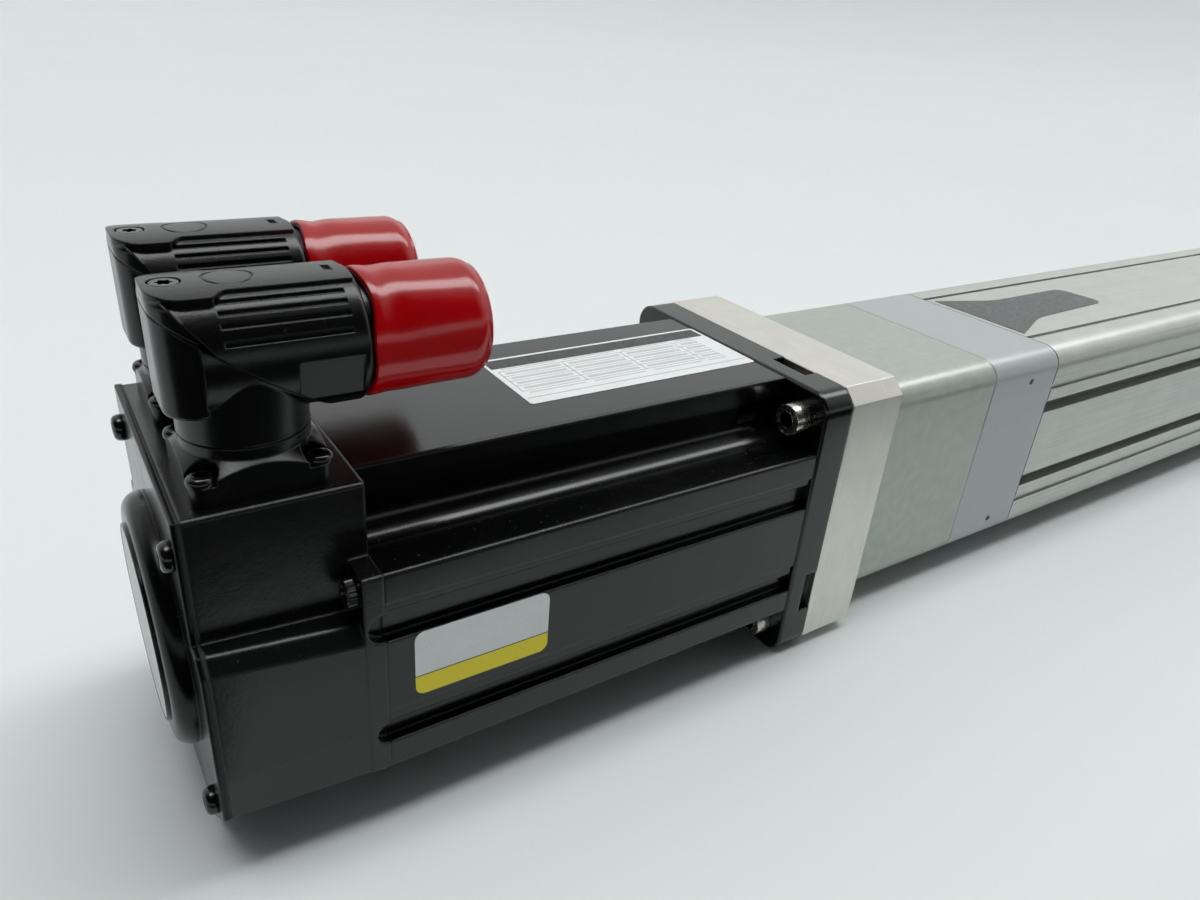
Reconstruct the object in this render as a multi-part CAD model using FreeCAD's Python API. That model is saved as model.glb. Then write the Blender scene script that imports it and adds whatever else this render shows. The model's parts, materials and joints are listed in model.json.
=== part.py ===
import FreeCAD, Part
import math
import os

# Servo-driven ball-screw cylinder, millimetres. X runs along the thrust axis towards the rod, Z is up.
# Stations are counted from the joint between motor and adapter plate; the parts are then moved so that
# the origin lies at the centre of the front mounting face.

V = FreeCAD.Vector
os.makedirs("parts", exist_ok=True)

# Travel
STROKE = 304.8
STOP_GAP = 2.0
BUMPER_T = 7.0

# Motor frame
FLANGE_SQ = 98.3
FLANGE_LIP = 0.4
FLANGE_T = 11.6
FLANGE_R = 7.0
NOTCH_W = 15.0
NOTCH_OFFSET = 24.5
NOTCH_DEEP = 3.0
NOTCH_LEN = 5.2
PILOT_R = 40.0
PILOT_H = 3.5
PILOT_GAP = 0.05
BODY_SQ = FLANGE_SQ - 2 * FLANGE_LIP
BODY_HALF = BODY_SQ / 2
BODY_LEN = 139.4
BODY_WALL = 9.25
BODY_BORE_R = BODY_HALF - BODY_WALL
CORNER_STEP = 18.75
FACE_HALF = BODY_HALF - CORNER_STEP
RIM_R = 0.8
COVE_R = 6.0
POCKET_R = 9.5
POCKET_LEN = 18.0
GROOVE_DEEP = 3.0
LIP_DEEP = 0.8
GROOVES = ((10.6, 19.1, 21.6), (-21.4, -14.9, -11.3))
SPIGOT_LEN = 5.0
SPIGOT_GAP = 0.15

# Motor bolts
BOLT_CLEAR = 15.65
BOLT_PCD = 2 * (BODY_BORE_R + BOLT_CLEAR)
BOLT_R = 3.0
BOLT_HEAD_R = 5.0
BOLT_HEAD_H = 6.0
BOLT_GRIP = 13.0
HOLE_GAP = 0.3
HEAD_EDGE = 0.1

# Motor inside
STATOR_GAP = 0.1
STATOR_BORE_R = 22.5
STATOR_LEN = 80.0
STATOR_START = 20.0
SLOT_COUNT = 12
SLOT_SHARE = 0.35
SLOT_DEEP = 11.0
WINDING_LEN = 13.0
WINDING_INSET = 1.5
WINDING_ROOM = 0.5
WINDING_EDGE_R = 3.0
ROTOR_R = 17.0
ROTOR_INSET = 1.0
MAGNET_T = 4.6
MAGNET_COUNT = 8
MAGNET_SHARE = 0.86
MAGNET_INSET = 1.0
SHAFT_R = 8.0
SHAFT_OUT = 40.0
SHAFT_SHOULDER = 1.5
SHAFT_EDGE = 1.0
FRONT_BEARING = (12.5, 26.0, 15.0)
REAR_BEARING = (8.5, 20.0, 12.0)
BALL_SHARE = 0.3
RING_SHARE = 0.55
BALL_GAP = 0.05
BALL_COUNT = 6
SEAL_R = 17.5
SEAL_GAP = 0.06
SEAL_END = 0.3
SEAL_POCKET = 5.0

# Rear end bell
BELL_LEN = 38.6
COLLAR_T = 5.0
BLOCK_INSET = 9.75
BLOCK_RISE = 0.55
BLOCK_FOOT = 5.0
BLOCK_EDGE_R = 1.2
BLOCK_HALF = BODY_HALF - BLOCK_INSET
BLOCK_TOP = BODY_HALF + BLOCK_RISE
CAVITY_R = 34.5
WEB_T = 9.0
WEB_BORE_R = 11.0
# Outline of the lower bell, at the seam and at the rear: inset from the frame's side, then height
BELL_AT_SEAM = ((3.25, 15.8), (0.05, 11.4), (0.05, -15.7), (0.55, 0.4 - FACE_HALF))
BELL_AT_REAR = ((5.15, 18.0), (2.0, 14.2), (2.0, -17.0), (2.6, 0.8 - FACE_HALF))
BELL_FOOT_AT_SEAM = (0.4, 0.35)
BELL_FOOT_AT_REAR = (1.0, 3.55)
LEDGE_R = 1.8
GASKET_T = 0.7
COVER_T = 1.2
COVER_EDGE = 0.3
DRUM_R = 33.3
DRUM_H = 5.2
DRUM_EDGE_R = 4.5
DISC_R = 26.0
DISC_H = 0.9
DISC_EDGE = 0.4
DISC_RIM = 0.9
DISC_DEEP = 0.3
COVER_SCREWS = ((34.0, 39.0), (36.0, -31.5))
COVER_SCREW_R = 2.0
COVER_SCREW_GRIP = 10.5
COVER_HOLE_DEEP = 12.0
PAN_R = 3.6
PAN_H = 2.6
GROUND_INSET = 4.45
GROUND_Z = 24.6
GROUND_AT = (GROUND_INSET - BODY_HALF, GROUND_Z)
GROUND_HEAD_R = 3.3
GROUND_HEAD_H = 3.1
GROUND_LEN = 4.0
ENCODER_LEN = 16.0
ENCODER_FLOOR = 4.0
ENCODER_SIDE_GAP = 0.3
ENCODER_DISC_R = 26.0
ENCODER_DISC_T = 1.2
ENCODER_DISC_BACK = 12.0
ENCODER_ROOM = 2.5
ENCODER_HUB_R = 9.0
ENCODER_HUB_LEN = 8.0
ENCODER_SHAFT_R = 5.0
ENCODER_SHAFT_LEN = 18.0
ENCODER_FLOOR_BORE_R = 12.0

# Connectors
CONN_BACK = 20.5
CONN_HALF = 21.6
BASE_SQ = 30.0
BASE_T = 5.2
BASE_CORNER_R = 3.0
BASE_BORE_R = 5.0
NECK_R = 14.0
NECK_H = 2.6
NECK_RISE = 11.9
NECK_TOP = BLOCK_TOP + NECK_RISE
CONE_FLARE = 1.3
BASE_SCREW_HALF = 12.4
BASE_SCREW_R = 1.5
BASE_SCREW_LEN = 6.5
BASE_HOLE_DEEP = 7.0
BASE_HEAD_R = 3.0
BASE_HEAD_H = 2.2
BASE_HEAD_EDGE = 1.4
BASE_PAD_GAP = 0.8
SWIVEL_GAP = 0.3
SPINDLE_R = 8.5
SPINDLE_H = 5.0
ELBOW_FOOT = 2.3
ELBOW_R = 15.3
ELBOW_Z = NECK_TOP + ELBOW_FOOT + ELBOW_R
ELBOW_TOP = ELBOW_Z + ELBOW_R
ELBOW_BACK = 16.5
ELBOW_FRONT = 25.0
ELBOW_FRONT_R = 1.2
PILLAR_LEN = 8.5
PILLAR_HALF = 11.8
PILLAR_DROP = 10.7
PILLAR_R = 7.0
PILLAR_FRONT_R = 1.2
PILLAR_FOOT_R = 1.0
PILLAR_TOP_R = 2.2
BELLY_STEP = 0.9
BELLY_SPAN = (-9.0, 18.0)
LAND_CROWN_R = 45.0
LAND_EDGE = 1.0
LAND_BACK_HALF = 9.6
LAND_HALF = 7.0
LAND_NECK = (-6.0, -1.5)
LAND_CORNER_R = 6.5
FLAT_TURN = 108.0
FLAT_DEEP = 0.9
FLAT_SPAN = (9.2, 23.2)
SOCKET_START = 9.0
# Slanted faces of the elbow: station from the swivel axis, height from the elbow axis
PART_LINE = ((-16.5, 10.8), (11.5, -9.6))
MITRE_LINE = ((-14.7, 14.5), (-3.5, 0.0))
PART_GAP = 0.3
ELBOW_SCREW_IN = 4.6
ELBOW_SCREW_SINK = 2.4
ELBOW_SCREW_HEAD = 1.8
ELBOW_SCREW_GAP = 0.25
ELBOW_SCREW_DOWN = 8.0
ELBOW_HOLE_DOWN = 10.0
RIB_ANGLES = (34.0, 44.0, 54.0, 68.0)
RIB_W = 1.1
RIB_DEEP = 0.7
RIB_SPAN = (-4.5, 21.3)
MARK_R = 5.2
MARK_W = 0.6
MARK_DEEP = 0.3
ARROW_AT = 19.5
ARROW_SIZE = (1.8, 4.0)
SLEEVE_R = 13.0
SLEEVE_EDGE = 0.8
SLEEVE_BORE_R = 11.0
SLEEVE_LEN = 18.0
SOCKET_DEEP = 7.0
INSERT_GAP = 0.05
PIN_CIRCLE_R = 6.5
PIN_SHORT = 1.5
POWER_PINS = (6, 1.2)
FEEDBACK_PINS = (12, 0.8)
CAP_R = 15.0
CAP_MOUTH_R = 0.8
CAP_GAP = 0.3
CAP_LEN = 30.2
CAP_END_T = 2.0
CAP_EDGE_R = 5.0

# Adapter plate and cylinder section
PLATE_T = 23.1
PLATE_CHAMFER = 4.7
PLATE_BORE_R = 29.0
PLATE_RECESS_GAP = 0.5
CYL_SQ = 83.0
CYL_HALF = CYL_SQ / 2
CYL_R = 8.0
PLATE_SCREW_AT = CYL_HALF - 5.75
PLATE_SCREW_R = 2.5
PLATE_SCREW_GRIP = 12.0
PLATE_HOLE_DEEP = 13.0
PLATE_HEAD_R = 4.25
PLATE_HEAD_H = 5.0
PLATE_HEAD_SINK = 0.9
BOLT_HOLE_MORE = 2.0
COUPLING_LEN = 65.0
COUPLING_WALL = 8.0
ENDCAP_LEN = 41.0
CORNER_AT = CYL_HALF - 9.5
TIE_R = 3.0
TIE_HEAD_R = 5.0
TIE_HEAD_H = 6.0
TIE_HEAD_SINK = 1.0
TIE_GRIP = 20.0
DIMPLE_R = 1.3
DIMPLE_BACK = 16.5
DIMPLE_DEEP = 1.2
DIMPLE_Z = 31.0
EDGE = 0.6

# Coupling
HUB_R = 27.0
HUB_ROOM = 3.0
COUPLING_BORE_R = HUB_R + HUB_ROOM
HUB_LEN = 17.0
HUB_GRIP = 13.0
HUB_EDGE = 1.0
SPIDER_BORE_R = 5.0
SPIDER_LAP = 2.0
SPIDER_INSET = 0.5
JAW_LEN = 12.0
JAW_ANGLE = 46.0
JAW_ROOT_R = 10.0
JAW_GAP = 2.0

# Screw, nut and bearings
SCREW_R = 12.5
SCREW_END_R = 7.5
SCREW_END_GAP = 2.0
SCREW_EDGE = 2.0
SCREW_OVER = 8.0
LOCKNUT_R = 15.5
LOCKNUT_T = 9.0
LOCKNUT_ROOM = 1.5
LOCKNUT_SLOT = (4.0, 4.0, 2.0)
THREAD_STEP = 0.5
BEARING = (10.0, 23.5, 14.0)
BEARING_SET = 4.0
RETAINER_R = 27.6
RETAINER_T = 4.0
RETAINER_GAP = 2.0
RETAINER_SCREW_AT = 25.4
RETAINER_SCREW_R = 1.0
RETAINER_SCREW_LEN = 11.0
RETAINER_HEAD_R = 2.0
RETAINER_HEAD_H = 2.0
RETAINER_HOLE_DEEP = 8.0
RUN_GAP = 0.06
RING_SIDE = 0.1
TUBE_ROOM = 2.0
TUBE_WALL = 5.5
TUBE_LIP = 2.0
TUBE_BORE_R = SCREW_R + TUBE_ROOM
TUBE_R = TUBE_BORE_R + TUBE_WALL
NUT_R = TUBE_R - TUBE_LIP
NUT_SCREW_WALL = 4.5
NUT_SCREW_AT = NUT_R + NUT_SCREW_WALL
NUT_FLANGE_R = NUT_SCREW_AT + NUT_SCREW_WALL
NUT_FLANGE_T = 12.0
NUT_NOSE = 6.5
NUT_SCREW_COUNT = 6
NUT_SCREW_R = 2.0
NUT_SCREW_GRIP = 10.0
NUT_HOLE_DEEP = 12.0
NUT_HEAD_R = 3.5
NUT_HEAD_H = 4.0
NUT_HEAD_SINK = 0.5
CARRIER_LEN = 36.0
CARRIER_GAP = 0.5
CARRIER_EDGE = 1.0
TUBE_OUT = 16.0
TUBE_SOCKET = 7.0
TUBE_FIT = 0.05

# Barrel and front head
BARREL_BORE_R = CYL_HALF - 10.5
CHANNEL_R = TIE_R + HOLE_GAP
KEY_W = 6.0
KEY_LEN = 10.0
KEY_R = BARREL_BORE_R + 2.4
KEY_H = 7.0
KEY_GAP = 0.3
RING_W = 6.0
RING_T = 1.5
RING_INSET = 4.0
BUMPER_GAP = 0.3
BUMPER_ROOM = 1.0
BUMPER_EDGE_R = 1.0
SLOT_AT = 17.0
SLOT_MOUTH = 5.2
SLOT_LIP = 2.0
SLOT_W = 9.0
SLOT_TOTAL = 6.5
LINE_AT = 26.0
LINE_W = 2.4
LINE_DEEP = 1.0
HEAD_LEN = 35.0
HEAD_SPIGOT = 24.0
HEAD_SPIGOT_GAP = 0.2
NOSE_H = 6.0
NOSE_EDGE = 1.0
HEAD_ROD_GAP = 0.5
BUSH_T = 4.0
BUSH_IN = 3.0
BUSH_BACK = 6.0
WIPER_T = 5.0
WIPER_LEN = 7.0
WIPER_SINK = 1.0
WIPER_LIP = 0.6
WIPER_EDGE = 1.5
NOSE_WALL = 2.5
NOSE_R = TUBE_R + WIPER_T + NOSE_WALL
MOUNT_HOLE_R = 3.4
MOUNT_WALL = 3.1
MOUNT_PCD = 2 * (NOSE_R + MOUNT_WALL + MOUNT_HOLE_R)
MOUNT_HOLE_DEEP = 18.0
ROD_STEP = 2.0
ROD_FLANGE_R = TUBE_R - ROD_STEP
ROD_FLANGE_T = 12.0
ROD_FLATS = 30.0
ROD_RIM = 2.0
ROD_EDGE = 1.0
PLUG_LEN = 16.0
STUD_R = 10.0
STUD_LEN = 40.0
STUD_EDGE = 1.5

# Stations along the thrust axis
X_BODY_FRONT = -FLANGE_T
X_SEAM = X_BODY_FRONT - BODY_LEN
X_BELL_REAR = X_SEAM - BELL_LEN
X_COVER_FRONT = X_BELL_REAR - GASKET_T
X_COVER_REAR = X_COVER_FRONT - COVER_T
X_CONN = X_SEAM - CONN_BACK
X_COUPLING = PLATE_T
X_ENDCAP = X_COUPLING + COUPLING_LEN
X_BARREL = X_ENDCAP + ENDCAP_LEN
X_NUT = X_BARREL + BUMPER_T + STOP_GAP
X_CARRIER = X_NUT + NUT_FLANGE_T
X_CARRIER_END = X_CARRIER + CARRIER_LEN
X_FRONT_BUMPER = X_CARRIER_END + STROKE + STOP_GAP
X_HEAD_SPIGOT = X_FRONT_BUMPER + BUMPER_T
X_HEAD = X_HEAD_SPIGOT + HEAD_SPIGOT
X_FRONT = X_HEAD + HEAD_LEN
X_TUBE_END = X_FRONT + NOSE_H + TUBE_OUT
X_BEARING = X_ENDCAP + BEARING_SET
X_RETAINER = X_BEARING + 2 * BEARING[2]
X_HUB = SHAFT_OUT - HUB_GRIP
X_JAWS = X_HUB + HUB_LEN
X_HUB_FACE = X_JAWS + JAW_LEN + JAW_GAP
X_BUSH = X_HEAD_SPIGOT + BUSH_IN
X_BUSH_END = X_FRONT - BUSH_BACK
X_WIPER = X_FRONT + NOSE_H - WIPER_SINK - WIPER_LEN
X_SOCKET_FACE = X_CONN + ELBOW_FRONT + SLEEVE_LEN
X_ELBOW_SCREW = X_CONN - ELBOW_BACK + ELBOW_SCREW_IN

CORNERS = [(sy, sz) for sy in (-1, 1) for sz in (-1, 1)]
DIAGONAL = math.sqrt(0.5)
BOLT_AT = BOLT_PCD / 2 * DIAGONAL
RETAINER_AT = RETAINER_SCREW_AT * DIAGONAL
BASE_TOP = BLOCK_TOP + BASE_T
SPINDLE_TOP = NECK_TOP + SPINDLE_H
FRONT_SEAT = X_BODY_FRONT - SPIGOT_LEN
REAR_SEAT = X_SEAM + SPIGOT_LEN - REAR_BEARING[2]
SPIGOT_R = BODY_BORE_R - SPIGOT_GAP


def cyl(r, x0, x1, y=0.0, z=0.0):
    return Part.makeCylinder(r, abs(x1 - x0), V(min(x0, x1), y, z), V(1, 0, 0))


def post(r, z0, z1, x, y):
    return Part.makeCylinder(r, z1 - z0, V(x, y, z0), V(0, 0, 1))


def tube(r_out, r_in, x0, x1):
    return cyl(r_out, x0, x1).cut(cyl(r_in, x0 - 1, x1 + 1))


def box(x0, x1, y0, y1, z0, z1):
    return Part.makeBox(x1 - x0, y1 - y0, z1 - z0, V(x0, y0, z0))


def outline(points, x):
    ring = [V(x, y, z) for y, z in points]
    return Part.makePolygon(ring + ring[:1])


def prism(points, x0, x1):
    return Part.Face(outline(points, x0)).extrude(V(x1 - x0, 0, 0))


def fuse(shapes):
    return shapes[0].multiFuse(shapes[1:]).removeSplitter() if len(shapes) > 1 else shapes[0]


def runs_along(edge, axis):
    a, b = edge.Vertexes[0].Point, edge.Vertexes[-1].Point
    d = b - a
    return d.Length > 1e-6 and abs(d.dot(axis)) > 0.999 * d.Length


def round_square(side, r, x0, x1):
    half = side / 2
    block = box(x0, x1, -half, half, -half, half)
    return block.makeFillet(r, [e for e in block.Edges if runs_along(e, V(1, 0, 0))])


def end_edges(shape, x, reach):
    """Outer edges in the plane at x, those further from the axis than reach."""
    found = []
    for e in shape.Edges:
        b = e.BoundBox
        flat = abs(b.XMin - x) < 1e-6 and abs(b.XMax - x) < 1e-6
        far = max(abs(b.YMin), abs(b.YMax), abs(b.ZMin), abs(b.ZMax)) > reach
        mid = e.valueAt((e.FirstParameter + e.LastParameter) / 2)
        if flat and far and math.hypot(mid.y, mid.z) > reach:
            found.append(e)
    return found


def soften(shape, xs, size, reach):
    edges = [e for x in xs for e in end_edges(shape, x, reach)]
    return shape.makeChamfer(size, edges)


def screw(r, head_r, head_h, x_seat, length, y, z, way=1):
    """Headed screw whose head sits on x_seat and whose shank runs on from there."""
    x_top = x_seat - way * head_h
    head = cyl(head_r, x_top, x_seat, y, z)
    head = head.makeChamfer(HEAD_EDGE * head_r, end_edges(head, x_top, 0))
    return head.fuse(cyl(r, x_seat, x_seat + way * length, y, z)).removeSplitter()


def sector(r_in, r_out, x0, x1, centre_deg, width_deg):
    """Ring segment about the thrust axis."""
    a0 = math.radians(centre_deg - width_deg / 2)
    a1 = math.radians(centre_deg + width_deg / 2)
    am = (a0 + a1) / 2

    def at(r, a):
        return V(x0, r * math.cos(a), r * math.sin(a))

    edges = [Part.Arc(at(r_out, a0), at(r_out, am), at(r_out, a1)).toShape(),
             Part.makeLine(at(r_out, a1), at(r_in, a1)),
             Part.Arc(at(r_in, a1), at(r_in, am), at(r_in, a0)).toShape(),
             Part.makeLine(at(r_in, a0), at(r_out, a0))]
    return Part.Face(Part.Wire(edges)).extrude(V(x1 - x0, 0, 0))


def around(r, count, first_deg=0.0):
    """Evenly spaced places on a circle about the thrust axis."""
    turns = [math.radians(first_deg + 360.0 * i / count) for i in range(count)]
    return [(r * math.cos(t), r * math.sin(t)) for t in turns]


def frame_section(x0, x1):
    """Motor frame: a square whose corners are stepped in for the bolt heads, with a cove in each step."""
    half = BODY_HALF
    body = box(x0, x1, -half, half, -half, half)
    far = half + 5
    m = COVE_R * (1 - DIAGONAL)

    def at(y, z):
        return V(x0, FACE_HALF + y, FACE_HALF + z)

    out = far - FACE_HALF
    step = Part.Wire([
        Part.makeLine(at(out, 0), at(COVE_R, 0)),
        Part.Arc(at(COVE_R, 0), at(m, m), at(0, COVE_R)).toShape(),
        Part.makeLine(at(0, COVE_R), at(0, out)),
        Part.makeLine(at(0, out), at(out, out)),
        Part.makeLine(at(out, out), at(out, 0))])
    corner = Part.Face(step).extrude(V(x1 - x0, 0, 0))
    for turn in range(4):
        piece = corner.copy()
        piece.rotate(V(0, 0, 0), V(1, 0, 0), 90.0 * turn)
        body = body.cut(piece)
    rims = [e for e in body.Edges if runs_along(e, V(1, 0, 0))
            and max(abs(e.BoundBox.YMin), abs(e.BoundBox.ZMin)) > half - 0.01]
    return body.makeFillet(RIM_R, rims)


def side_grooves(x0, x1, rounded):
    """Long flat grooves with a shallow upper lip on both sides of the motor."""
    half = BODY_HALF
    cuts = []
    for low, mid, high in GROOVES:
        for deep, z0, z1 in ((GROOVE_DEEP, low, mid), (LIP_DEEP, mid, high)):
            for side in (-1, 1):
                y0, y1 = sorted((side * (half - deep), side * (half + 1)))
                cuts.append(box(x0, x1, y0, y1, z0, z1))
                if rounded:
                    r = (mid - low) / 2
                    start = V(x0, side * (half - GROOVE_DEEP), low + r)
                    cuts.append(Part.makeCylinder(r, GROOVE_DEEP + 1, start, V(0, side, 0)))
    return fuse(cuts)


def motor_housing():
    shell = frame_section(X_SEAM, X_BODY_FRONT).cut(cyl(BODY_BORE_R, X_SEAM - 1, X_BODY_FRONT + 1))
    shell = shell.cut(side_grooves(X_SEAM - 1, X_BODY_FRONT + 1, False))
    for sy, sz in CORNERS:
        y, z = sy * BOLT_AT, sz * BOLT_AT
        shell = shell.cut(cyl(POCKET_R, X_BODY_FRONT - POCKET_LEN, X_BODY_FRONT + 1, y, z))
    return shell


def motor_flange():
    plate = round_square(FLANGE_SQ, FLANGE_R, X_BODY_FRONT, 0)
    plate = soften(plate, (X_BODY_FRONT,), EDGE, FLANGE_SQ / 2 - 4)
    half = FLANGE_SQ / 2
    y0 = -NOTCH_OFFSET - NOTCH_W / 2
    notch = box(-NOTCH_LEN, 1, y0, y0 + NOTCH_W, half - NOTCH_DEEP, half + 1)
    for turn in range(4):
        piece = notch.copy()
        piece.rotate(V(0, 0, 0), V(1, 0, 0), 90.0 * turn)
        plate = plate.cut(piece)
    plate = fuse([plate, cyl(PILOT_R, -1, PILOT_H), cyl(SPIGOT_R, FRONT_SEAT, X_BODY_FRONT + 1)])
    plate = plate.cut(cyl(FRONT_BEARING[1], FRONT_SEAT - 1, FRONT_SEAT + FRONT_BEARING[2]))
    plate = plate.cut(cyl(SEAL_R, -SEAL_POCKET, PILOT_H + 1))
    for sy, sz in CORNERS:
        plate = plate.cut(cyl(BOLT_R + HOLE_GAP, X_BODY_FRONT - 1, 1, sy * BOLT_AT, sz * BOLT_AT))
    return plate


def bell_points(at_rear):
    """Half outline of the lower end bell, from the ledge down; it draws in towards the rear cover."""
    side = BELL_AT_REAR if at_rear else BELL_AT_SEAM
    foot = BELL_FOOT_AT_REAR if at_rear else BELL_FOOT_AT_SEAM
    return ([(BLOCK_HALF, side[0][1])] + [(BODY_HALF - inset, z) for inset, z in side]
            + [(FACE_HALF - foot[0], foot[1] - BODY_HALF)])


def bell_outline(at_rear, with_block):
    right = bell_points(at_rear)
    if with_block:
        right = [(BLOCK_HALF, BLOCK_TOP)] + right
    return right + [(-y, z) for y, z in reversed(right)]


def rear_end_bell():
    collar = frame_section(X_SEAM - COLLAR_T, X_SEAM).cut(side_grooves(X_SEAM, X_SEAM + 1, True))
    lower = Part.makeLoft([outline(bell_outline(False, False), X_SEAM - COLLAR_T + EDGE),
                           outline(bell_outline(True, False), X_BELL_REAR)], True, True)
    ledge_y = BODY_HALF - BELL_AT_REAR[0][0]
    ledges = [e for e in lower.Edges for v in e.Vertexes if e.BoundBox.XLength > BELL_LEN / 2
              and v.X < X_BELL_REAR + 1 and abs(v.Z - BELL_AT_REAR[0][1]) < 0.01
              and abs(abs(v.Y) - ledge_y) < 0.01]
    lower = lower.makeFillet(LEDGE_R, ledges)
    block = box(X_BELL_REAR, X_SEAM, -BLOCK_HALF, BLOCK_HALF, BLOCK_FOOT, BLOCK_TOP)
    rims = [e for e in block.Edges if e.BoundBox.ZMin > BLOCK_FOOT + 1 and runs_along(e, V(1, 0, 0))]
    block = block.makeFillet(BLOCK_EDGE_R, rims)
    bell = fuse([collar, lower, block, cyl(SPIGOT_R, X_SEAM - 1, X_SEAM + SPIGOT_LEN)])
    bell = bell.cut(cyl(CAVITY_R, X_BELL_REAR - 1, X_SEAM - WEB_T))
    bell = bell.cut(cyl(REAR_BEARING[1], REAR_SEAT, X_SEAM + SPIGOT_LEN + 1))
    bell = bell.cut(cyl(WEB_BORE_R, X_SEAM - WEB_T - 1, X_SEAM + SPIGOT_LEN))
    bell = bell.cut(fuse(cover_screw_holes(X_BELL_REAR - 1, X_BELL_REAR + COVER_HOLE_DEEP)))
    for x, y in base_screw_places():
        bell = bell.cut(post(BASE_SCREW_R + HOLE_GAP, BLOCK_TOP - BASE_HOLE_DEEP, BLOCK_TOP + 1, x, y))
    y, z = GROUND_AT
    return bell.cut(cyl(BASE_SCREW_R + HOLE_GAP, X_SEAM - COLLAR_T - 1, X_SEAM - EDGE, y, z))


def cover_screw_places():
    return [(side * y, z) for y, z in COVER_SCREWS for side in (-1, 1)]


def cover_screw_holes(x0, x1):
    return [cyl(COVER_SCREW_R + HOLE_GAP, x0, x1, y, z) for y, z in cover_screw_places()]


def rear_gasket():
    x0, x1 = X_COVER_FRONT - 1, X_BELL_REAR + 1
    sheet = prism(bell_outline(True, True), X_COVER_FRONT, X_BELL_REAR)
    return sheet.cut(fuse([cyl(CAVITY_R, x0, x1)] + cover_screw_holes(x0, x1)))


def rear_cover():
    """Drawn sheet cover: a flat rim, a shallow drum and a raised disc with a recess for a plate."""
    x_face = X_COVER_REAR - DRUM_H
    x_disc = x_face - DISC_H
    plate = prism(bell_outline(True, True), X_COVER_REAR, X_COVER_FRONT)
    plate = soften(plate, (X_COVER_REAR,), COVER_EDGE, CAVITY_R / 2)
    drum = cyl(DRUM_R, x_face, X_COVER_FRONT)
    drum = drum.makeFillet(DRUM_EDGE_R, end_edges(drum, x_face, 0))
    disc = cyl(DISC_R, x_disc, x_face + COVER_T)
    disc = disc.makeChamfer(DISC_EDGE, end_edges(disc, x_disc, 0))
    hollow = cyl(DRUM_R - COVER_T, x_face + COVER_T, X_COVER_FRONT + 1)
    hollow = hollow.makeFillet(DRUM_EDGE_R - COVER_T, end_edges(hollow, x_face + COVER_T, 0))
    cover = fuse([plate, drum, disc]).cut(hollow)
    cover = cover.cut(cyl(DISC_R - DISC_RIM, x_disc - 1, x_disc + DISC_DEEP))
    return cover.cut(fuse(cover_screw_holes(X_COVER_REAR - 1, X_COVER_FRONT + 1)))


def rear_cover_screws():
    length = COVER_T + GASKET_T + COVER_SCREW_GRIP
    return [screw(COVER_SCREW_R, PAN_R, PAN_H, X_COVER_REAR, length, y, z)
            for y, z in cover_screw_places()]


def ground_screw():
    y, z = GROUND_AT
    return screw(BASE_SCREW_R, GROUND_HEAD_R, GROUND_HEAD_H, X_SEAM - COLLAR_T, GROUND_LEN, y, z)


def motor_bolts():
    return [screw(BOLT_R, BOLT_HEAD_R, BOLT_HEAD_H, X_BODY_FRONT, FLANGE_T + BOLT_GRIP,
                  sy * BOLT_AT, sz * BOLT_AT) for sy, sz in CORNERS]


def stator_span():
    x0 = X_SEAM + STATOR_START
    return x0, x0 + STATOR_LEN


def stator_core():
    x0, x1 = stator_span()
    core = tube(BODY_BORE_R - STATOR_GAP, STATOR_BORE_R, x0, x1)
    step = 360.0 / SLOT_COUNT
    slots = [sector(STATOR_BORE_R - 1, STATOR_BORE_R + SLOT_DEEP, x0 - 1, x1 + 1, i * step,
                    step * SLOT_SHARE) for i in range(SLOT_COUNT)]
    return core.cut(fuse(slots))


def stator_windings():
    x0, x1 = stator_span()
    r_in, r_out = STATOR_BORE_R + WINDING_INSET, STATOR_BORE_R + SLOT_DEEP - WINDING_ROOM
    rings = []
    for a, b in ((x0 - WINDING_LEN, x0), (x1, x1 + WINDING_LEN)):
        ring = tube(r_out, r_in, a, b)
        rings.append(ring.makeFillet(WINDING_EDGE_R, [e for e in ring.Edges if e.Length > 2 * r_in]))
    return rings


def ring_bearing(size, x0):
    """Ball bearing: two grooved rings and the row of balls between them."""
    r_in, r_out, width = size
    mid = (r_in + r_out) / 2
    ball_r = (r_out - r_in) * BALL_SHARE
    a, b = x0 + RING_SIDE, x0 + width - RING_SIDE
    groove = Part.makeTorus(mid, ball_r + BALL_GAP, V(x0 + width / 2, 0, 0), V(1, 0, 0))
    inner = tube(mid - ball_r * RING_SHARE, r_in + RUN_GAP, a, b).cut(groove)
    outer = tube(r_out, mid + ball_r * RING_SHARE, a, b).cut(groove)
    balls = [Part.makeSphere(ball_r, V(x0 + width / 2, y, z)) for y, z in around(mid, BALL_COUNT)]
    return [inner, outer] + balls


def front_motor_bearing():
    return ring_bearing(FRONT_BEARING, FRONT_SEAT)


def rear_motor_bearing():
    return ring_bearing(REAR_BEARING, REAR_SEAT)


def shaft_seal():
    x0 = FRONT_SEAT + FRONT_BEARING[2]
    return tube(SEAL_R, SHAFT_R + SEAL_GAP, x0 + SEAL_END, PILOT_H - SEAL_END)


def encoder_body():
    x1 = X_SEAM - WEB_T
    bore_r = ENCODER_DISC_R + ENCODER_ROOM
    cup = tube(CAVITY_R - ENCODER_SIDE_GAP, bore_r, x1 - ENCODER_LEN, x1)
    return cup.fuse(tube(bore_r + 1, ENCODER_FLOOR_BORE_R, x1 - ENCODER_FLOOR, x1)).removeSplitter()


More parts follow.
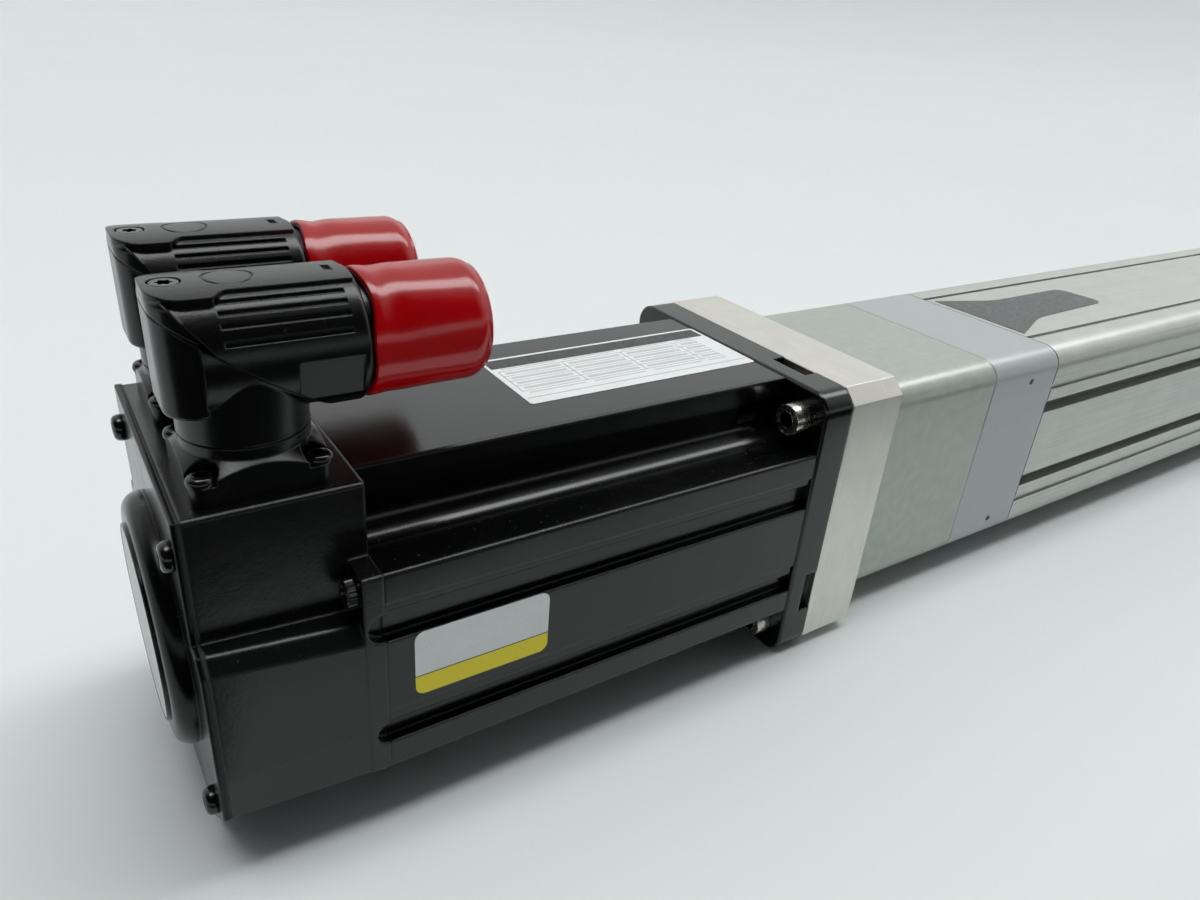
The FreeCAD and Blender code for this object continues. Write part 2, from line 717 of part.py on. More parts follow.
def encoder_disc():
    x, h, t = X_SEAM - WEB_T - ENCODER_DISC_BACK, ENCODER_HUB_LEN / 2, ENCODER_DISC_T / 2
    boss = tube(ENCODER_HUB_R, ENCODER_SHAFT_R, x - h, x + h)
    return boss.fuse(tube(ENCODER_DISC_R, ENCODER_SHAFT_R, x - t, x + t)).removeSplitter()


def rotor_span():
    x0, x1 = stator_span()
    return x0 + ROTOR_INSET, x1 - ROTOR_INSET


def motor_shaft():
    a, b = rotor_span()
    neck_r = FRONT_BEARING[0] + SHAFT_SHOULDER
    rear_end, front_end = REAR_SEAT + REAR_BEARING[2], FRONT_SEAT + FRONT_BEARING[2]
    tail = X_SEAM - WEB_T - ENCODER_SHAFT_LEN
    steps = [(ENCODER_SHAFT_R, tail, REAR_SEAT), (REAR_BEARING[0], REAR_SEAT, rear_end),
             (neck_r, rear_end, a), (ROTOR_R, a, b), (neck_r, b, FRONT_SEAT),
             (FRONT_BEARING[0], FRONT_SEAT, front_end), (SHAFT_R, front_end, SHAFT_OUT)]
    shaft = fuse([cyl(r, x0, x1) for r, x0, x1 in steps])
    return shaft.makeChamfer(SHAFT_EDGE, end_edges(shaft, SHAFT_OUT, SHAFT_R - 1))


def rotor_magnets():
    a, b = rotor_span()
    a, b, step = a + MAGNET_INSET, b - MAGNET_INSET, 360.0 / MAGNET_COUNT
    return [sector(ROTOR_R, ROTOR_R + MAGNET_T, a, b, i * step, step * MAGNET_SHARE)
            for i in range(MAGNET_COUNT)]


def adapter_plate():
    half = FLANGE_SQ / 2
    plate = box(0, PLATE_T, -half, half, -half, half)
    plate = plate.makeChamfer(PLATE_CHAMFER, [e for e in plate.Edges if runs_along(e, V(1, 0, 0))])
    plate = soften(plate, (0, PLATE_T), EDGE / 2, half - 6)
    plate = plate.cut(cyl(PILOT_R + PILOT_GAP, -1, PILOT_H + PLATE_RECESS_GAP))
    plate = plate.cut(cyl(PLATE_BORE_R, -1, PLATE_T + 1))
    for sy, sz in CORNERS:
        plate = plate.cut(cyl(BOLT_R + HOLE_GAP, -1, BOLT_GRIP + BOLT_HOLE_MORE, sy * BOLT_AT, sz * BOLT_AT))
    for y, z in around(PLATE_SCREW_AT, 4):
        plate = plate.cut(cyl(PLATE_HEAD_R + HOLE_GAP, 0, plate_screw_seat(), y, z))
        plate = plate.cut(cyl(PLATE_SCREW_R + HOLE_GAP, 0, PLATE_T + 1, y, z))
    return plate


def plate_screw_seat():
    return PILOT_H + PLATE_HEAD_SINK + PLATE_HEAD_H


def plate_screws():
    length = PLATE_T - plate_screw_seat() + PLATE_SCREW_GRIP
    return [screw(PLATE_SCREW_R, PLATE_HEAD_R, PLATE_HEAD_H, plate_screw_seat(), length, y, z)
            for y, z in around(PLATE_SCREW_AT, 4)]


def corner_places():
    return [(sy * CORNER_AT, sz * CORNER_AT) for sy, sz in CORNERS]


def coupling_housing():
    body = soften(round_square(CYL_SQ, CYL_R, X_COUPLING, X_ENDCAP), (X_ENDCAP,), EDGE / 2, CYL_HALF - CYL_R)
    body = body.cut(cyl(COUPLING_BORE_R, X_COUPLING - 1, X_ENDCAP - COUPLING_WALL))
    body = body.cut(cyl(LOCKNUT_R + LOCKNUT_ROOM, X_COUPLING, X_ENDCAP + 1))
    for y, z in corner_places():
        body = body.cut(cyl(TIE_HEAD_R + HOLE_GAP, X_COUPLING - 1, tie_screw_seat(), y, z))
        body = body.cut(cyl(TIE_R + HOLE_GAP, X_COUPLING, X_ENDCAP + 1, y, z))
    for y, z in around(PLATE_SCREW_AT, 4):
        body = body.cut(cyl(PLATE_SCREW_R + HOLE_GAP, X_COUPLING - 1, X_COUPLING + PLATE_HOLE_DEEP, y, z))
    return body


def tie_screw_seat():
    return X_COUPLING + TIE_HEAD_SINK + TIE_HEAD_H


def tie_screws():
    length = X_BARREL + TIE_GRIP - tie_screw_seat()
    return [screw(TIE_R, TIE_HEAD_R, TIE_HEAD_H, tie_screw_seat(), length, y, z) for y, z in corner_places()]


def drive_end_cap():
    body = round_square(CYL_SQ, CYL_R, X_ENDCAP, X_BARREL)
    body = soften(body, (X_ENDCAP, X_BARREL), EDGE, CYL_HALF - CYL_R)
    body = body.cut(cyl(LOCKNUT_R + LOCKNUT_ROOM, X_ENDCAP - 1, X_BARREL))
    body = body.cut(cyl(BEARING[1], X_BEARING, X_BARREL))
    body = body.cut(cyl(RETAINER_R + HOLE_GAP, X_RETAINER, X_BARREL + 1))
    for y, z in corner_places():
        body = body.cut(cyl(TIE_R + HOLE_GAP, X_ENDCAP - 1, X_BARREL + 1, y, z))
    for sy, sz in CORNERS:
        start = V(X_BARREL - DIMPLE_BACK, sy * (CYL_HALF - DIMPLE_DEEP), sz * DIMPLE_Z)
        body = body.cut(Part.makeCylinder(DIMPLE_R, DIMPLE_DEEP + 1, start, V(0, sy, 0)))
    for y, z in retainer_screw_places():
        body = body.cut(cyl(RETAINER_SCREW_R + HOLE_GAP, X_RETAINER - RETAINER_HOLE_DEEP, X_RETAINER + 1, y, z))
    return body


def retainer_screw_places():
    return [(sy * RETAINER_AT, sz * RETAINER_AT) for sy, sz in CORNERS]


def thrust_bearings():
    return ring_bearing(BEARING, X_BEARING) + ring_bearing(BEARING, X_BEARING + BEARING[2])


def bearing_retainer():
    ring = tube(RETAINER_R, SCREW_R + RETAINER_GAP, X_RETAINER, X_RETAINER + RETAINER_T)
    for y, z in retainer_screw_places():
        ring = ring.cut(cyl(RETAINER_SCREW_R + HOLE_GAP, X_RETAINER - 1, X_RETAINER + RETAINER_T + 1, y, z))
    return ring


def retainer_screws():
    seat = X_RETAINER + RETAINER_T
    return [screw(RETAINER_SCREW_R, RETAINER_HEAD_R, RETAINER_HEAD_H, seat, RETAINER_SCREW_LEN, y, z, -1)
            for y, z in retainer_screw_places()]


def hub(x_face, way, r_bore):
    """One half of the jaw coupling, its jaws reaching from x_face along way."""
    a, b = sorted((x_face, x_face - way * HUB_LEN))
    body = cyl(HUB_R, a, b)
    body = body.makeChamfer(HUB_EDGE, end_edges(body, x_face - way * HUB_LEN, HUB_R - 1))
    turn = 0.0 if way > 0 else 60.0
    c, d = sorted((x_face - way, x_face + way * JAW_LEN))
    jaws = [sector(JAW_ROOT_R, HUB_R, c, d, turn + 120.0 * i, JAW_ANGLE) for i in range(3)]
    return fuse([body] + jaws).cut(cyl(r_bore, a - 1, b + 1))


def motor_hub():
    return hub(X_JAWS, 1, SHAFT_R)


def screw_hub():
    return hub(X_HUB_FACE, -1, SCREW_END_R)


def coupling_spider():
    x0, x1 = X_JAWS + JAW_GAP, X_JAWS + JAW_LEN
    legs = [sector(JAW_ROOT_R - SPIDER_LAP, HUB_R - SPIDER_INSET, x0, x1, 30.0 + 60.0 * i, 60.0 - JAW_ANGLE)
            for i in range(6)]
    return fuse([tube(JAW_ROOT_R, SPIDER_BORE_R, x0, x1)] + legs)


def ball_screw():
    x_tip = X_CARRIER_END + NUT_NOSE + STROKE + SCREW_OVER
    x_lock = X_BEARING - LOCKNUT_T
    steps = [(SCREW_END_R, X_HUB_FACE + SCREW_END_GAP, x_lock), (BEARING[0] - THREAD_STEP, x_lock, X_BEARING),
             (BEARING[0], X_BEARING, X_RETAINER), (SCREW_R, X_RETAINER, x_tip)]
    bar = fuse([cyl(r, a, b) for r, a, b in steps])
    return bar.makeChamfer(SCREW_EDGE, end_edges(bar, x_tip, SCREW_R - 1))


def bearing_locknut():
    x0 = X_BEARING - LOCKNUT_T
    nut = tube(LOCKNUT_R, BEARING[0] - THREAD_STEP, x0, X_BEARING)
    length, width, deep = LOCKNUT_SLOT
    for turn in range(4):
        slot = box(x0 - 1, x0 + length, -width / 2, width / 2, LOCKNUT_R - deep, LOCKNUT_R + 1)
        slot.rotate(V(0, 0, 0), V(1, 0, 0), 90.0 * turn)
        nut = nut.cut(slot)
    return nut


def side_slot(x0, x1, side, z):
    y0, y1 = sorted((side * (CYL_HALF - SLOT_TOTAL), side * (CYL_HALF + 1)))
    mouth = box(x0, x1, y0, y1, z - SLOT_MOUTH / 2, z + SLOT_MOUTH / 2)
    y0, y1 = sorted((side * (CYL_HALF - SLOT_TOTAL), side * (CYL_HALF - SLOT_LIP)))
    return mouth.fuse(box(x0, x1, y0, y1, z - SLOT_W / 2, z + SLOT_W / 2)).removeSplitter()


def barrel():
    a, b = X_BARREL - 1, X_HEAD + 1
    body = round_square(CYL_SQ, CYL_R, X_BARREL, X_HEAD).cut(cyl(BARREL_BORE_R, a, b))
    cuts = [cyl(CHANNEL_R, a, b, y, z) for y, z in corner_places()]
    for side, sz in CORNERS:
        cuts.append(side_slot(a, b, side, sz * SLOT_AT))
        low, high = sz * LINE_AT - LINE_W / 2, sz * LINE_AT + LINE_W / 2
        deep, out = sorted((side * (CYL_HALF - LINE_DEEP), side * (CYL_HALF + 1)))
        cuts += [box(a, b, deep, out, low, high), box(a, b, low, high, deep, out)]
    key = KEY_W / 2 + KEY_GAP
    cuts.append(box(a, b, -KEY_R - KEY_GAP, KEY_R + KEY_GAP, -key, key))
    return body.cut(cuts[0].multiFuse(cuts[1:]))


def bumper(x0):
    ring = tube(BARREL_BORE_R - BUMPER_GAP, TUBE_R + BUMPER_ROOM, x0, x0 + BUMPER_T)
    return ring.makeFillet(BUMPER_EDGE_R, end_edges(ring, x0, 0) + end_edges(ring, x0 + BUMPER_T, 0))


def rear_bumper():
    return bumper(X_BARREL)


def front_bumper():
    return bumper(X_FRONT_BUMPER)


def ball_nut():
    x_end = X_CARRIER_END + NUT_NOSE
    body = fuse([cyl(NUT_R, X_NUT, x_end), cyl(NUT_FLANGE_R, X_NUT, X_CARRIER)])
    body = body.cut(cyl(SCREW_R + RUN_GAP, X_NUT - 1, x_end + 1))
    for y, z in nut_screw_places():
        body = body.cut(cyl(NUT_HEAD_R + HOLE_GAP, X_NUT - 1, nut_screw_seat(), y, z))
        body = body.cut(cyl(NUT_SCREW_R + HOLE_GAP, X_NUT, X_CARRIER + 1, y, z))
    return body


def nut_screw_places():
    return around(NUT_SCREW_AT, NUT_SCREW_COUNT, 180.0 / NUT_SCREW_COUNT)


def nut_screw_seat():
    return X_NUT + NUT_HEAD_H + NUT_HEAD_SINK


def nut_screws():
    length = X_CARRIER - nut_screw_seat() + NUT_SCREW_GRIP
    return [screw(NUT_SCREW_R, NUT_HEAD_R, NUT_HEAD_H, nut_screw_seat(), length, y, z)
            for y, z in nut_screw_places()]


def ring_stations():
    return (X_CARRIER + RING_INSET, X_CARRIER_END - RING_INSET - RING_W)


def guide_carrier():
    r = BARREL_BORE_R - CARRIER_GAP
    body = tube(r, NUT_R, X_CARRIER, X_CARRIER_END)
    body = soften(body, (X_CARRIER, X_CARRIER_END), CARRIER_EDGE, r - 1)
    for x in ring_stations():
        body = body.cut(tube(r + 1, BARREL_BORE_R - RUN_GAP - RING_T, x, x + RING_W))
    for y, z in nut_screw_places():
        body = body.cut(cyl(NUT_SCREW_R + HOLE_GAP, X_CARRIER - 1, X_CARRIER + NUT_HOLE_DEEP, y, z))
    return body.cut(fuse(guide_keys()))


def guide_keys():
    x0 = (X_CARRIER + X_CARRIER_END - KEY_LEN) / 2
    spans = ((-KEY_R, KEY_H - KEY_R), (KEY_R - KEY_H, KEY_R))
    return [box(x0, x0 + KEY_LEN, y0, y1, -KEY_W / 2, KEY_W / 2) for y0, y1 in spans]


def wear_rings():
    r = BARREL_BORE_R - RUN_GAP
    return [tube(r, r - RING_T, x, x + RING_W) for x in ring_stations()]


def thrust_tube():
    body = tube(TUBE_R, TUBE_BORE_R, X_CARRIER_END, X_TUBE_END)
    return body.cut(cyl(NUT_R + TUBE_FIT, X_CARRIER_END - 1, X_CARRIER_END + TUBE_SOCKET))


def rod_end():
    x, x_face = X_TUBE_END, X_TUBE_END + ROD_FLANGE_T
    x_tip = x_face + STUD_LEN
    flange = cyl(ROD_FLANGE_R, x, x_face)
    flange = flange.makeChamfer(ROD_EDGE, end_edges(flange, x_face, ROD_FLANGE_R - 1))
    for side in (-1, 1):
        y0, y1 = sorted((side * ROD_FLATS / 2, side * (ROD_FLANGE_R + 1)))
        flange = flange.cut(box(x + ROD_RIM, x_face + 1, y0, y1, -ROD_FLANGE_R, ROD_FLANGE_R))
    stud = cyl(STUD_R, x_face, x_tip)
    stud = stud.makeChamfer(STUD_EDGE, end_edges(stud, x_tip, STUD_R - 1))
    return fuse([cyl(TUBE_BORE_R, x - PLUG_LEN, x), flange, stud])


def front_head():
    x_nose = X_FRONT + NOSE_H
    body = round_square(CYL_SQ, CYL_R, X_HEAD, X_FRONT)
    body = soften(body, (X_HEAD, X_FRONT), EDGE, CYL_HALF - CYL_R)
    nose = cyl(NOSE_R, X_FRONT - 1, x_nose)
    nose = nose.makeChamfer(NOSE_EDGE, end_edges(nose, x_nose, NOSE_R - 1))
    spigot = cyl(BARREL_BORE_R - HEAD_SPIGOT_GAP, X_HEAD_SPIGOT, X_HEAD + 1)
    body = fuse([body, nose, spigot]).cut(cyl(TUBE_R + HEAD_ROD_GAP, X_HEAD_SPIGOT - 1, x_nose + 1))
    body = body.cut(cyl(TUBE_R + BUSH_T, X_BUSH, X_BUSH_END))
    body = body.cut(cyl(TUBE_R + WIPER_T, X_WIPER, x_nose + 1))
    for y, z in around(MOUNT_PCD / 2, 4):
        body = body.cut(cyl(MOUNT_HOLE_R, X_FRONT - MOUNT_HOLE_DEEP, X_FRONT + 1, y, z))
    for y, z in corner_places():
        body = body.cut(cyl(TIE_HEAD_R + HOLE_GAP, head_screw_seat(), X_FRONT + 1, y, z))
        body = body.cut(cyl(TIE_R + HOLE_GAP, X_HEAD - 1, X_FRONT, y, z))
    return body


def head_screw_seat():
    return X_FRONT - TIE_HEAD_SINK - TIE_HEAD_H


def head_screws():
    length = head_screw_seat() - X_HEAD + TIE_GRIP
    return [screw(TIE_R, TIE_HEAD_R, TIE_HEAD_H, head_screw_seat(), length, y, z, -1)
            for y, z in corner_places()]


def rod_bush():
    return tube(TUBE_R + BUSH_T, TUBE_R + RUN_GAP, X_BUSH, X_BUSH_END)


def rod_wiper():
    x1 = X_WIPER + WIPER_LEN + WIPER_LIP
    ring = tube(TUBE_R + WIPER_T, TUBE_R + RUN_GAP, X_WIPER, x1)
    return ring.makeChamfer(WIPER_EDGE, end_edges(ring, x1, TUBE_R + WIPER_T - 1))


def conn_places():
    return {"power": -CONN_HALF, "feedback": CONN_HALF}


def base_screw_places():
    return [(X_CONN + sx * BASE_SCREW_HALF, y + sy * BASE_SCREW_HALF)
            for y in conn_places().values() for sx, sy in CORNERS]


def connector_base(y):
    """Square foot that rises as a cone to the round swivel neck, with a pad cut at each corner screw."""
    half = BASE_SQ / 2
    neck_foot = NECK_TOP - NECK_H
    x0, x1, y0, y1 = X_CONN - half, X_CONN + half, y - half, y + half
    foot = box(x0, x1, y0, y1, BLOCK_TOP, BASE_TOP)
    foot = foot.makeFillet(BASE_CORNER_R, [e for e in foot.Edges if runs_along(e, V(0, 0, 1))])
    cone = Part.makeCone(half * CONE_FLARE, NECK_R, neck_foot - BASE_TOP, V(X_CONN, y, BASE_TOP), V(0, 0, 1))
    cone = cone.common(box(x0, x1, y0, y1, BASE_TOP, NECK_TOP))
    neck = post(NECK_R, neck_foot, NECK_TOP, X_CONN, y)
    spindle = post(SPINDLE_R, neck_foot, SPINDLE_TOP, X_CONN, y)
    base = fuse([foot, cone, neck, spindle])
    for sx, sy in CORNERS:
        px, py = X_CONN + sx * BASE_SCREW_HALF, y + sy * BASE_SCREW_HALF
        base = base.cut(post(BASE_HEAD_R + BASE_PAD_GAP, BASE_TOP, neck_foot, px, py))
        base = base.cut(post(BASE_SCREW_R + HOLE_GAP, BLOCK_TOP - 1, BASE_TOP + 1, px, py))
    return base.cut(post(BASE_BORE_R, BLOCK_TOP - 1, SPINDLE_TOP + 1, X_CONN, y))


def base_screws():
    top = BASE_TOP + BASE_HEAD_H
    made = []
    for x, y in base_screw_places():
        head = post(BASE_HEAD_R, BASE_TOP, top, x, y)
        head = head.makeFillet(BASE_HEAD_EDGE, [e for e in head.Edges if e.BoundBox.ZMin > top - 0.01])
        made.append(fuse([head, post(BASE_SCREW_R, BLOCK_TOP - BASE_SCREW_LEN, BASE_TOP, x, y)]))
    return made


def slanted_block(y, line, lift, above):
    """Everything above or below a slanted line in the elbow's side view, raised by lift."""
    (xa, za), (xb, zb) = line
    x0, x1, wide = -2 * ELBOW_R, 2 * (ELBOW_FRONT + SLEEVE_LEN), 2 * ELBOW_R
    end = 4 * ELBOW_R if above else -8 * ELBOW_R

    def at(x, z):
        return V(X_CONN + x, y - wide, ELBOW_Z + z)

    def height(x):
        return za + (zb - za) / (xb - xa) * (x - xa) + lift

    ring = [at(x0, height(x0)), at(x1, height(x1)), at(x1, end), at(x0, end)]
    return Part.Face(Part.makePolygon(ring + ring[:1])).extrude(V(0, 2 * wide, 0))


def elbow_land(y):
    """Crowned land on top: wide at the screw, drawn in by an S towards the socket."""
    x0, x1 = X_CONN - ELBOW_BACK, X_CONN + ELBOW_FRONT - ELBOW_FRONT_R
    n0, n1 = X_CONN + LAND_NECK[0], X_CONN + LAND_NECK[1]
    z0, z1 = ELBOW_Z, ELBOW_TOP + 1

    def edge(side):
        a, b = V(n0, y + side * LAND_BACK_HALF, z0), V(n1, y + side * LAND_HALF, z0)
        pull = V((n1 - n0) / 2, 0, 0)
        curve = Part.BezierCurve()
        curve.setPoles([a, a + pull, b - pull, b])
        return [Part.makeLine(V(x0, y + side * LAND_BACK_HALF, z0), a), curve.toShape(),
                Part.makeLine(b, V(x1, y + side * LAND_HALF, z0))]

    ends = [Part.makeLine(V(x, y - half, z0), V(x, y + half, z0))
            for x, half in ((x0, LAND_BACK_HALF), (x1, LAND_HALF))]
    plan = Part.Wire(Part.__sortEdges__(edge(-1) + edge(1) + ends))
    land = Part.Face(plan).extrude(V(0, 0, z1 - z0))
    corners = [e for e in land.Edges if runs_along(e, V(0, 0, 1)) and abs(e.BoundBox.XMin - x0) < 0.01]
    land = land.makeFillet(LAND_CORNER_R, corners)
    return land.common(cyl(LAND_CROWN_R, x0, x1, y, ELBOW_TOP - LAND_CROWN_R))


def elbow_pillar(y):
    """Flat back of the elbow: a rounded block from its foot up to the land."""
    x0, x1 = X_CONN - ELBOW_BACK, X_CONN - ELBOW_BACK + PILLAR_LEN
    z0, z1 = ELBOW_Z - PILLAR_DROP, ELBOW_TOP - LAND_EDGE
    pillar = box(x0, x1, y - PILLAR_HALF, y + PILLAR_HALF, z0, z1)
    for x, r in ((x0, PILLAR_R), (x1, PILLAR_FRONT_R)):
        corners = [e for e in pillar.Edges if runs_along(e, V(0, 0, 1)) and abs(e.BoundBox.XMin - x) < 0.01]
        pillar = pillar.makeFillet(r, corners)
    pillar = pillar.makeFillet(PILLAR_FOOT_R, [e for e in pillar.Edges if e.BoundBox.ZMax < z0 + 0.01])
    return pillar.makeFillet(PILLAR_TOP_R, [e for e in pillar.Edges if e.BoundBox.ZMin > z1 - 0.01])


def elbow_socket(y):
    """Bores shared by both halves: the socket and the seat of the swivel spindle."""
    return [cyl(SLEEVE_BORE_R, X_CONN + SOCKET_START, X_SOCKET_FACE + 1, y, ELBOW_Z),
            post(SPINDLE_R + SWIVEL_GAP, NECK_TOP, SPINDLE_TOP + SWIVEL_GAP, X_CONN, y)]


def elbow_grooves(y):
    """Grip grooves and flats on the sides, ring mark and arrow mark on the land."""
    cuts = []
    for side in (-1, 1):
        for angle in RIB_ANGLES:
            groove = box(X_CONN + RIB_SPAN[0], X_CONN + RIB_SPAN[1], y - RIB_W / 2, y + RIB_W / 2,
                         ELBOW_TOP - RIB_DEEP, ELBOW_TOP + 1)
            groove.rotate(V(0, y, ELBOW_Z), V(1, 0, 0), side * angle)
            cuts.append(groove)
        flat = box(X_CONN + FLAT_SPAN[0], X_CONN + FLAT_SPAN[1], y - ELBOW_R, y + ELBOW_R,
                   ELBOW_TOP - FLAT_DEEP, ELBOW_TOP + 1)
        flat.rotate(V(0, y, ELBOW_Z), V(1, 0, 0), side * FLAT_TURN)
        cuts.append(flat)
    ring = post(MARK_R, ELBOW_TOP - MARK_DEEP, ELBOW_TOP + 1, X_CONN, y)
    cuts.append(ring.cut(post(MARK_R - MARK_W, ELBOW_TOP - 1, ELBOW_TOP + 1, X_CONN, y)))
    deep, wide = ARROW_SIZE
    cuts.append(box(X_CONN + ARROW_AT, X_CONN + ARROW_AT + deep, y - wide / 2, y + wide / 2,
                    ELBOW_TOP - 2 * MARK_DEEP, ELBOW_TOP + 1))
    return cuts


def elbow_screw_hole(y):
    return post(BASE_SCREW_R + HOLE_GAP, ELBOW_Z - ELBOW_HOLE_DOWN, ELBOW_TOP, X_ELBOW_SCREW, y)


def elbow_upper(y):
    """Upper shell: land, mitred round barrel and socket sleeve, above the slanted parting face."""
    x_front = X_CONN + ELBOW_FRONT
    bar = cyl(ELBOW_R, X_CONN - ELBOW_BACK, x_front, y, ELBOW_Z)
    bar = bar.makeFillet(ELBOW_FRONT_R, end_edges(bar, x_front, 0))
    bar = bar.common(slanted_block(y, MITRE_LINE, 0.0, True))
    sleeve = cyl(SLEEVE_R, x_front - SLEEVE_EDGE, X_SOCKET_FACE, y, ELBOW_Z)
    sleeve = sleeve.makeChamfer(SLEEVE_EDGE, end_edges(sleeve, X_SOCKET_FACE, 0))
    pillar = elbow_pillar(y).common(slanted_block(y, MITRE_LINE, 0.0, False))
    shell = fuse([pillar, elbow_land(y), bar, sleeve])
    shell = shell.common(slanted_block(y, PART_LINE, PART_GAP, True))
    sink = post(BASE_HEAD_R + ELBOW_SCREW_GAP, ELBOW_TOP - ELBOW_SCREW_SINK, ELBOW_TOP + 1, X_ELBOW_SCREW, y)
    return shell.cut(fuse(elbow_grooves(y))).cut(fuse(elbow_socket(y))).cut(sink).cut(elbow_screw_hole(y))


def elbow_lower(y):
    """Lower shell: back pillar, belly and the round column on the swivel, below the parting face."""
    column = post(NECK_R, NECK_TOP + SWIVEL_GAP, ELBOW_Z, X_CONN, y)
    belly = cyl(ELBOW_R - BELLY_STEP, X_CONN + BELLY_SPAN[0], X_CONN + BELLY_SPAN[1], y, ELBOW_Z)
    shell = fuse([elbow_pillar(y), column, belly]).common(slanted_block(y, PART_LINE, 0.0, False))
    return shell.cut(fuse(elbow_socket(y))).cut(elbow_screw_hole(y))


def elbow_screw(y):
    seat = ELBOW_TOP - ELBOW_SCREW_SINK
    return fuse([post(BASE_HEAD_R, seat, seat + ELBOW_SCREW_HEAD, X_ELBOW_SCREW, y),
                 post(BASE_SCREW_R, ELBOW_Z - ELBOW_SCREW_DOWN, seat, X_ELBOW_SCREW, y)])


def connector_insert(y):
    return cyl(SLEEVE_BORE_R - INSERT_GAP, X_CONN + SOCKET_START, X_SOCKET_FACE - SOCKET_DEEP, y, ELBOW_Z)


def connector_pins(y, count, r):
    x0, x1 = X_SOCKET_FACE - SOCKET_DEEP, X_SOCKET_FACE - PIN_SHORT
    return [cyl(r, x0, x1, y + py, ELBOW_Z + pz) for py, pz in around(PIN_CIRCLE_R, count)]


def connector_cap(y):
    """Soft push-on cap with a rounded closed end."""
    x0 = X_CONN + ELBOW_FRONT + CAP_GAP
    x1 = x0 + CAP_LEN
    skin = cyl(CAP_R, x0, x1, y, ELBOW_Z)
    skin = skin.makeFillet(CAP_EDGE_R, end_edges(skin, x1, 0))
    skin = skin.makeFillet(CAP_MOUTH_R, end_edges(skin, x0, 0))
    hollow = cyl(SLEEVE_R + CAP_GAP, x0 - 1, x1 - CAP_END_T, y, ELBOW_Z)
    return skin.cut(hollow.makeFillet(CAP_EDGE_R - CAP_END_T, end_edges(hollow, x1 - CAP_END_T, 0)))


def all_nodes():
    made = {f.__name__: f() for f in (
        motor_housing, motor_flange, rear_end_bell, rear_gasket, rear_cover, rear_cover_screws,
        ground_screw, motor_bolts, stator_core, stator_windings, front_motor_bearing, rear_motor_bearing,
        shaft_seal, encoder_body, encoder_disc, motor_shaft, rotor_magnets, adapter_plate, plate_screws,
        coupling_housing, tie_screws, drive_end_cap, thrust_bearings, bearing_retainer, retainer_screws,
        motor_hub, coupling_spider, screw_hub, ball_screw, bearing_locknut, barrel, rear_bumper,
        front_bumper, ball_nut, nut_screws, guide_carrier, guide_keys, wear_rings, thrust_tube, rod_end,
        front_head, head_screws, rod_bush, rod_wiper, base_screws)}
    for name, y in conn_places().items():
        made[name + "_base"] = connector_base(y)
        made[name + "_elbow_lower"] = elbow_lower(y)
        made[name + "_elbow_upper"] = elbow_upper(y)
        made[name + "_elbow_screw"] = elbow_screw(y)
        made[name + "_insert"] = connector_insert(y)
        made[name + "_cap"] = connector_cap(y)
    made["power_pins"] = connector_pins(-CONN_HALF, *POWER_PINS)
    made["feedback_pins"] = connector_pins(CONN_HALF, *FEEDBACK_PINS)
    return made


for node, shape in all_nodes().items():
    if isinstance(shape, list):
        shape = Part.makeCompound(shape)
    shape.translate(V(-X_FRONT, 0, 0))
    shape.exportStep("parts/" + node + ".step")
    print(node, len(shape.Solids), "solids", round(shape.Volume / 1000, 2), "cm3", shape.isValid())
print("front face at station", round(X_FRONT, 2), "barrel length", round(X_HEAD - X_BARREL, 2))
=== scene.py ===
# %% [markdown]
# # An electric cylinder, finished in Blender
# A servo motor pushes a rod out of a long square barrel. Every rigid piece comes from the packed
# CAD frame at its real size, so this lesson is about what CAD leaves out: finishes, screw drives,
# threads, plates, light and the camera. We load the frame first and remember its box, because
# nothing we add may outgrow it.

# %% Load the frame
import json
import math
import random

import bmesh
import bpy
from mathutils import Matrix, Vector


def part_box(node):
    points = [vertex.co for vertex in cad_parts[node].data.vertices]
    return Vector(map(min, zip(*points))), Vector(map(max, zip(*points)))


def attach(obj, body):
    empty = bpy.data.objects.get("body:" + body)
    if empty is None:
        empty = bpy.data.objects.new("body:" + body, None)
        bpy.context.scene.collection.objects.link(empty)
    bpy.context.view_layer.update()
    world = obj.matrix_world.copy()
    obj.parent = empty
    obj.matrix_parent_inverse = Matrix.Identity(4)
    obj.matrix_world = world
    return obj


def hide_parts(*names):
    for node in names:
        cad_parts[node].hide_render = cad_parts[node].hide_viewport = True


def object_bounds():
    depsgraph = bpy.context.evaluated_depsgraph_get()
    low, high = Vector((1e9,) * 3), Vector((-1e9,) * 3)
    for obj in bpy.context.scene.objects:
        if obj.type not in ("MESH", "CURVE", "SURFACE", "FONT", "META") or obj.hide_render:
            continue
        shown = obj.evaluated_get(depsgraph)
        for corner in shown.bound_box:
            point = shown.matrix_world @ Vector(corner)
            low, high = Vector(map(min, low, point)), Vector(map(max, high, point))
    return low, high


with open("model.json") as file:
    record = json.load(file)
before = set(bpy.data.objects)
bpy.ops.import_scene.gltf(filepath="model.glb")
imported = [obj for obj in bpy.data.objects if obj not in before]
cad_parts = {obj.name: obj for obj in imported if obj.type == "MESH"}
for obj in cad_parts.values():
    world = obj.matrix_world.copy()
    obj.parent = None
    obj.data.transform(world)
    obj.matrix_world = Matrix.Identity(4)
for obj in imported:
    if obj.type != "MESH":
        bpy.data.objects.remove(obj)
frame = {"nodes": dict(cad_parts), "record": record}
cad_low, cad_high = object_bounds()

nodes = frame["nodes"]
MM = 0.001
print("nodes", len(nodes), "box", [round(v, 4) for v in cad_high - cad_low])

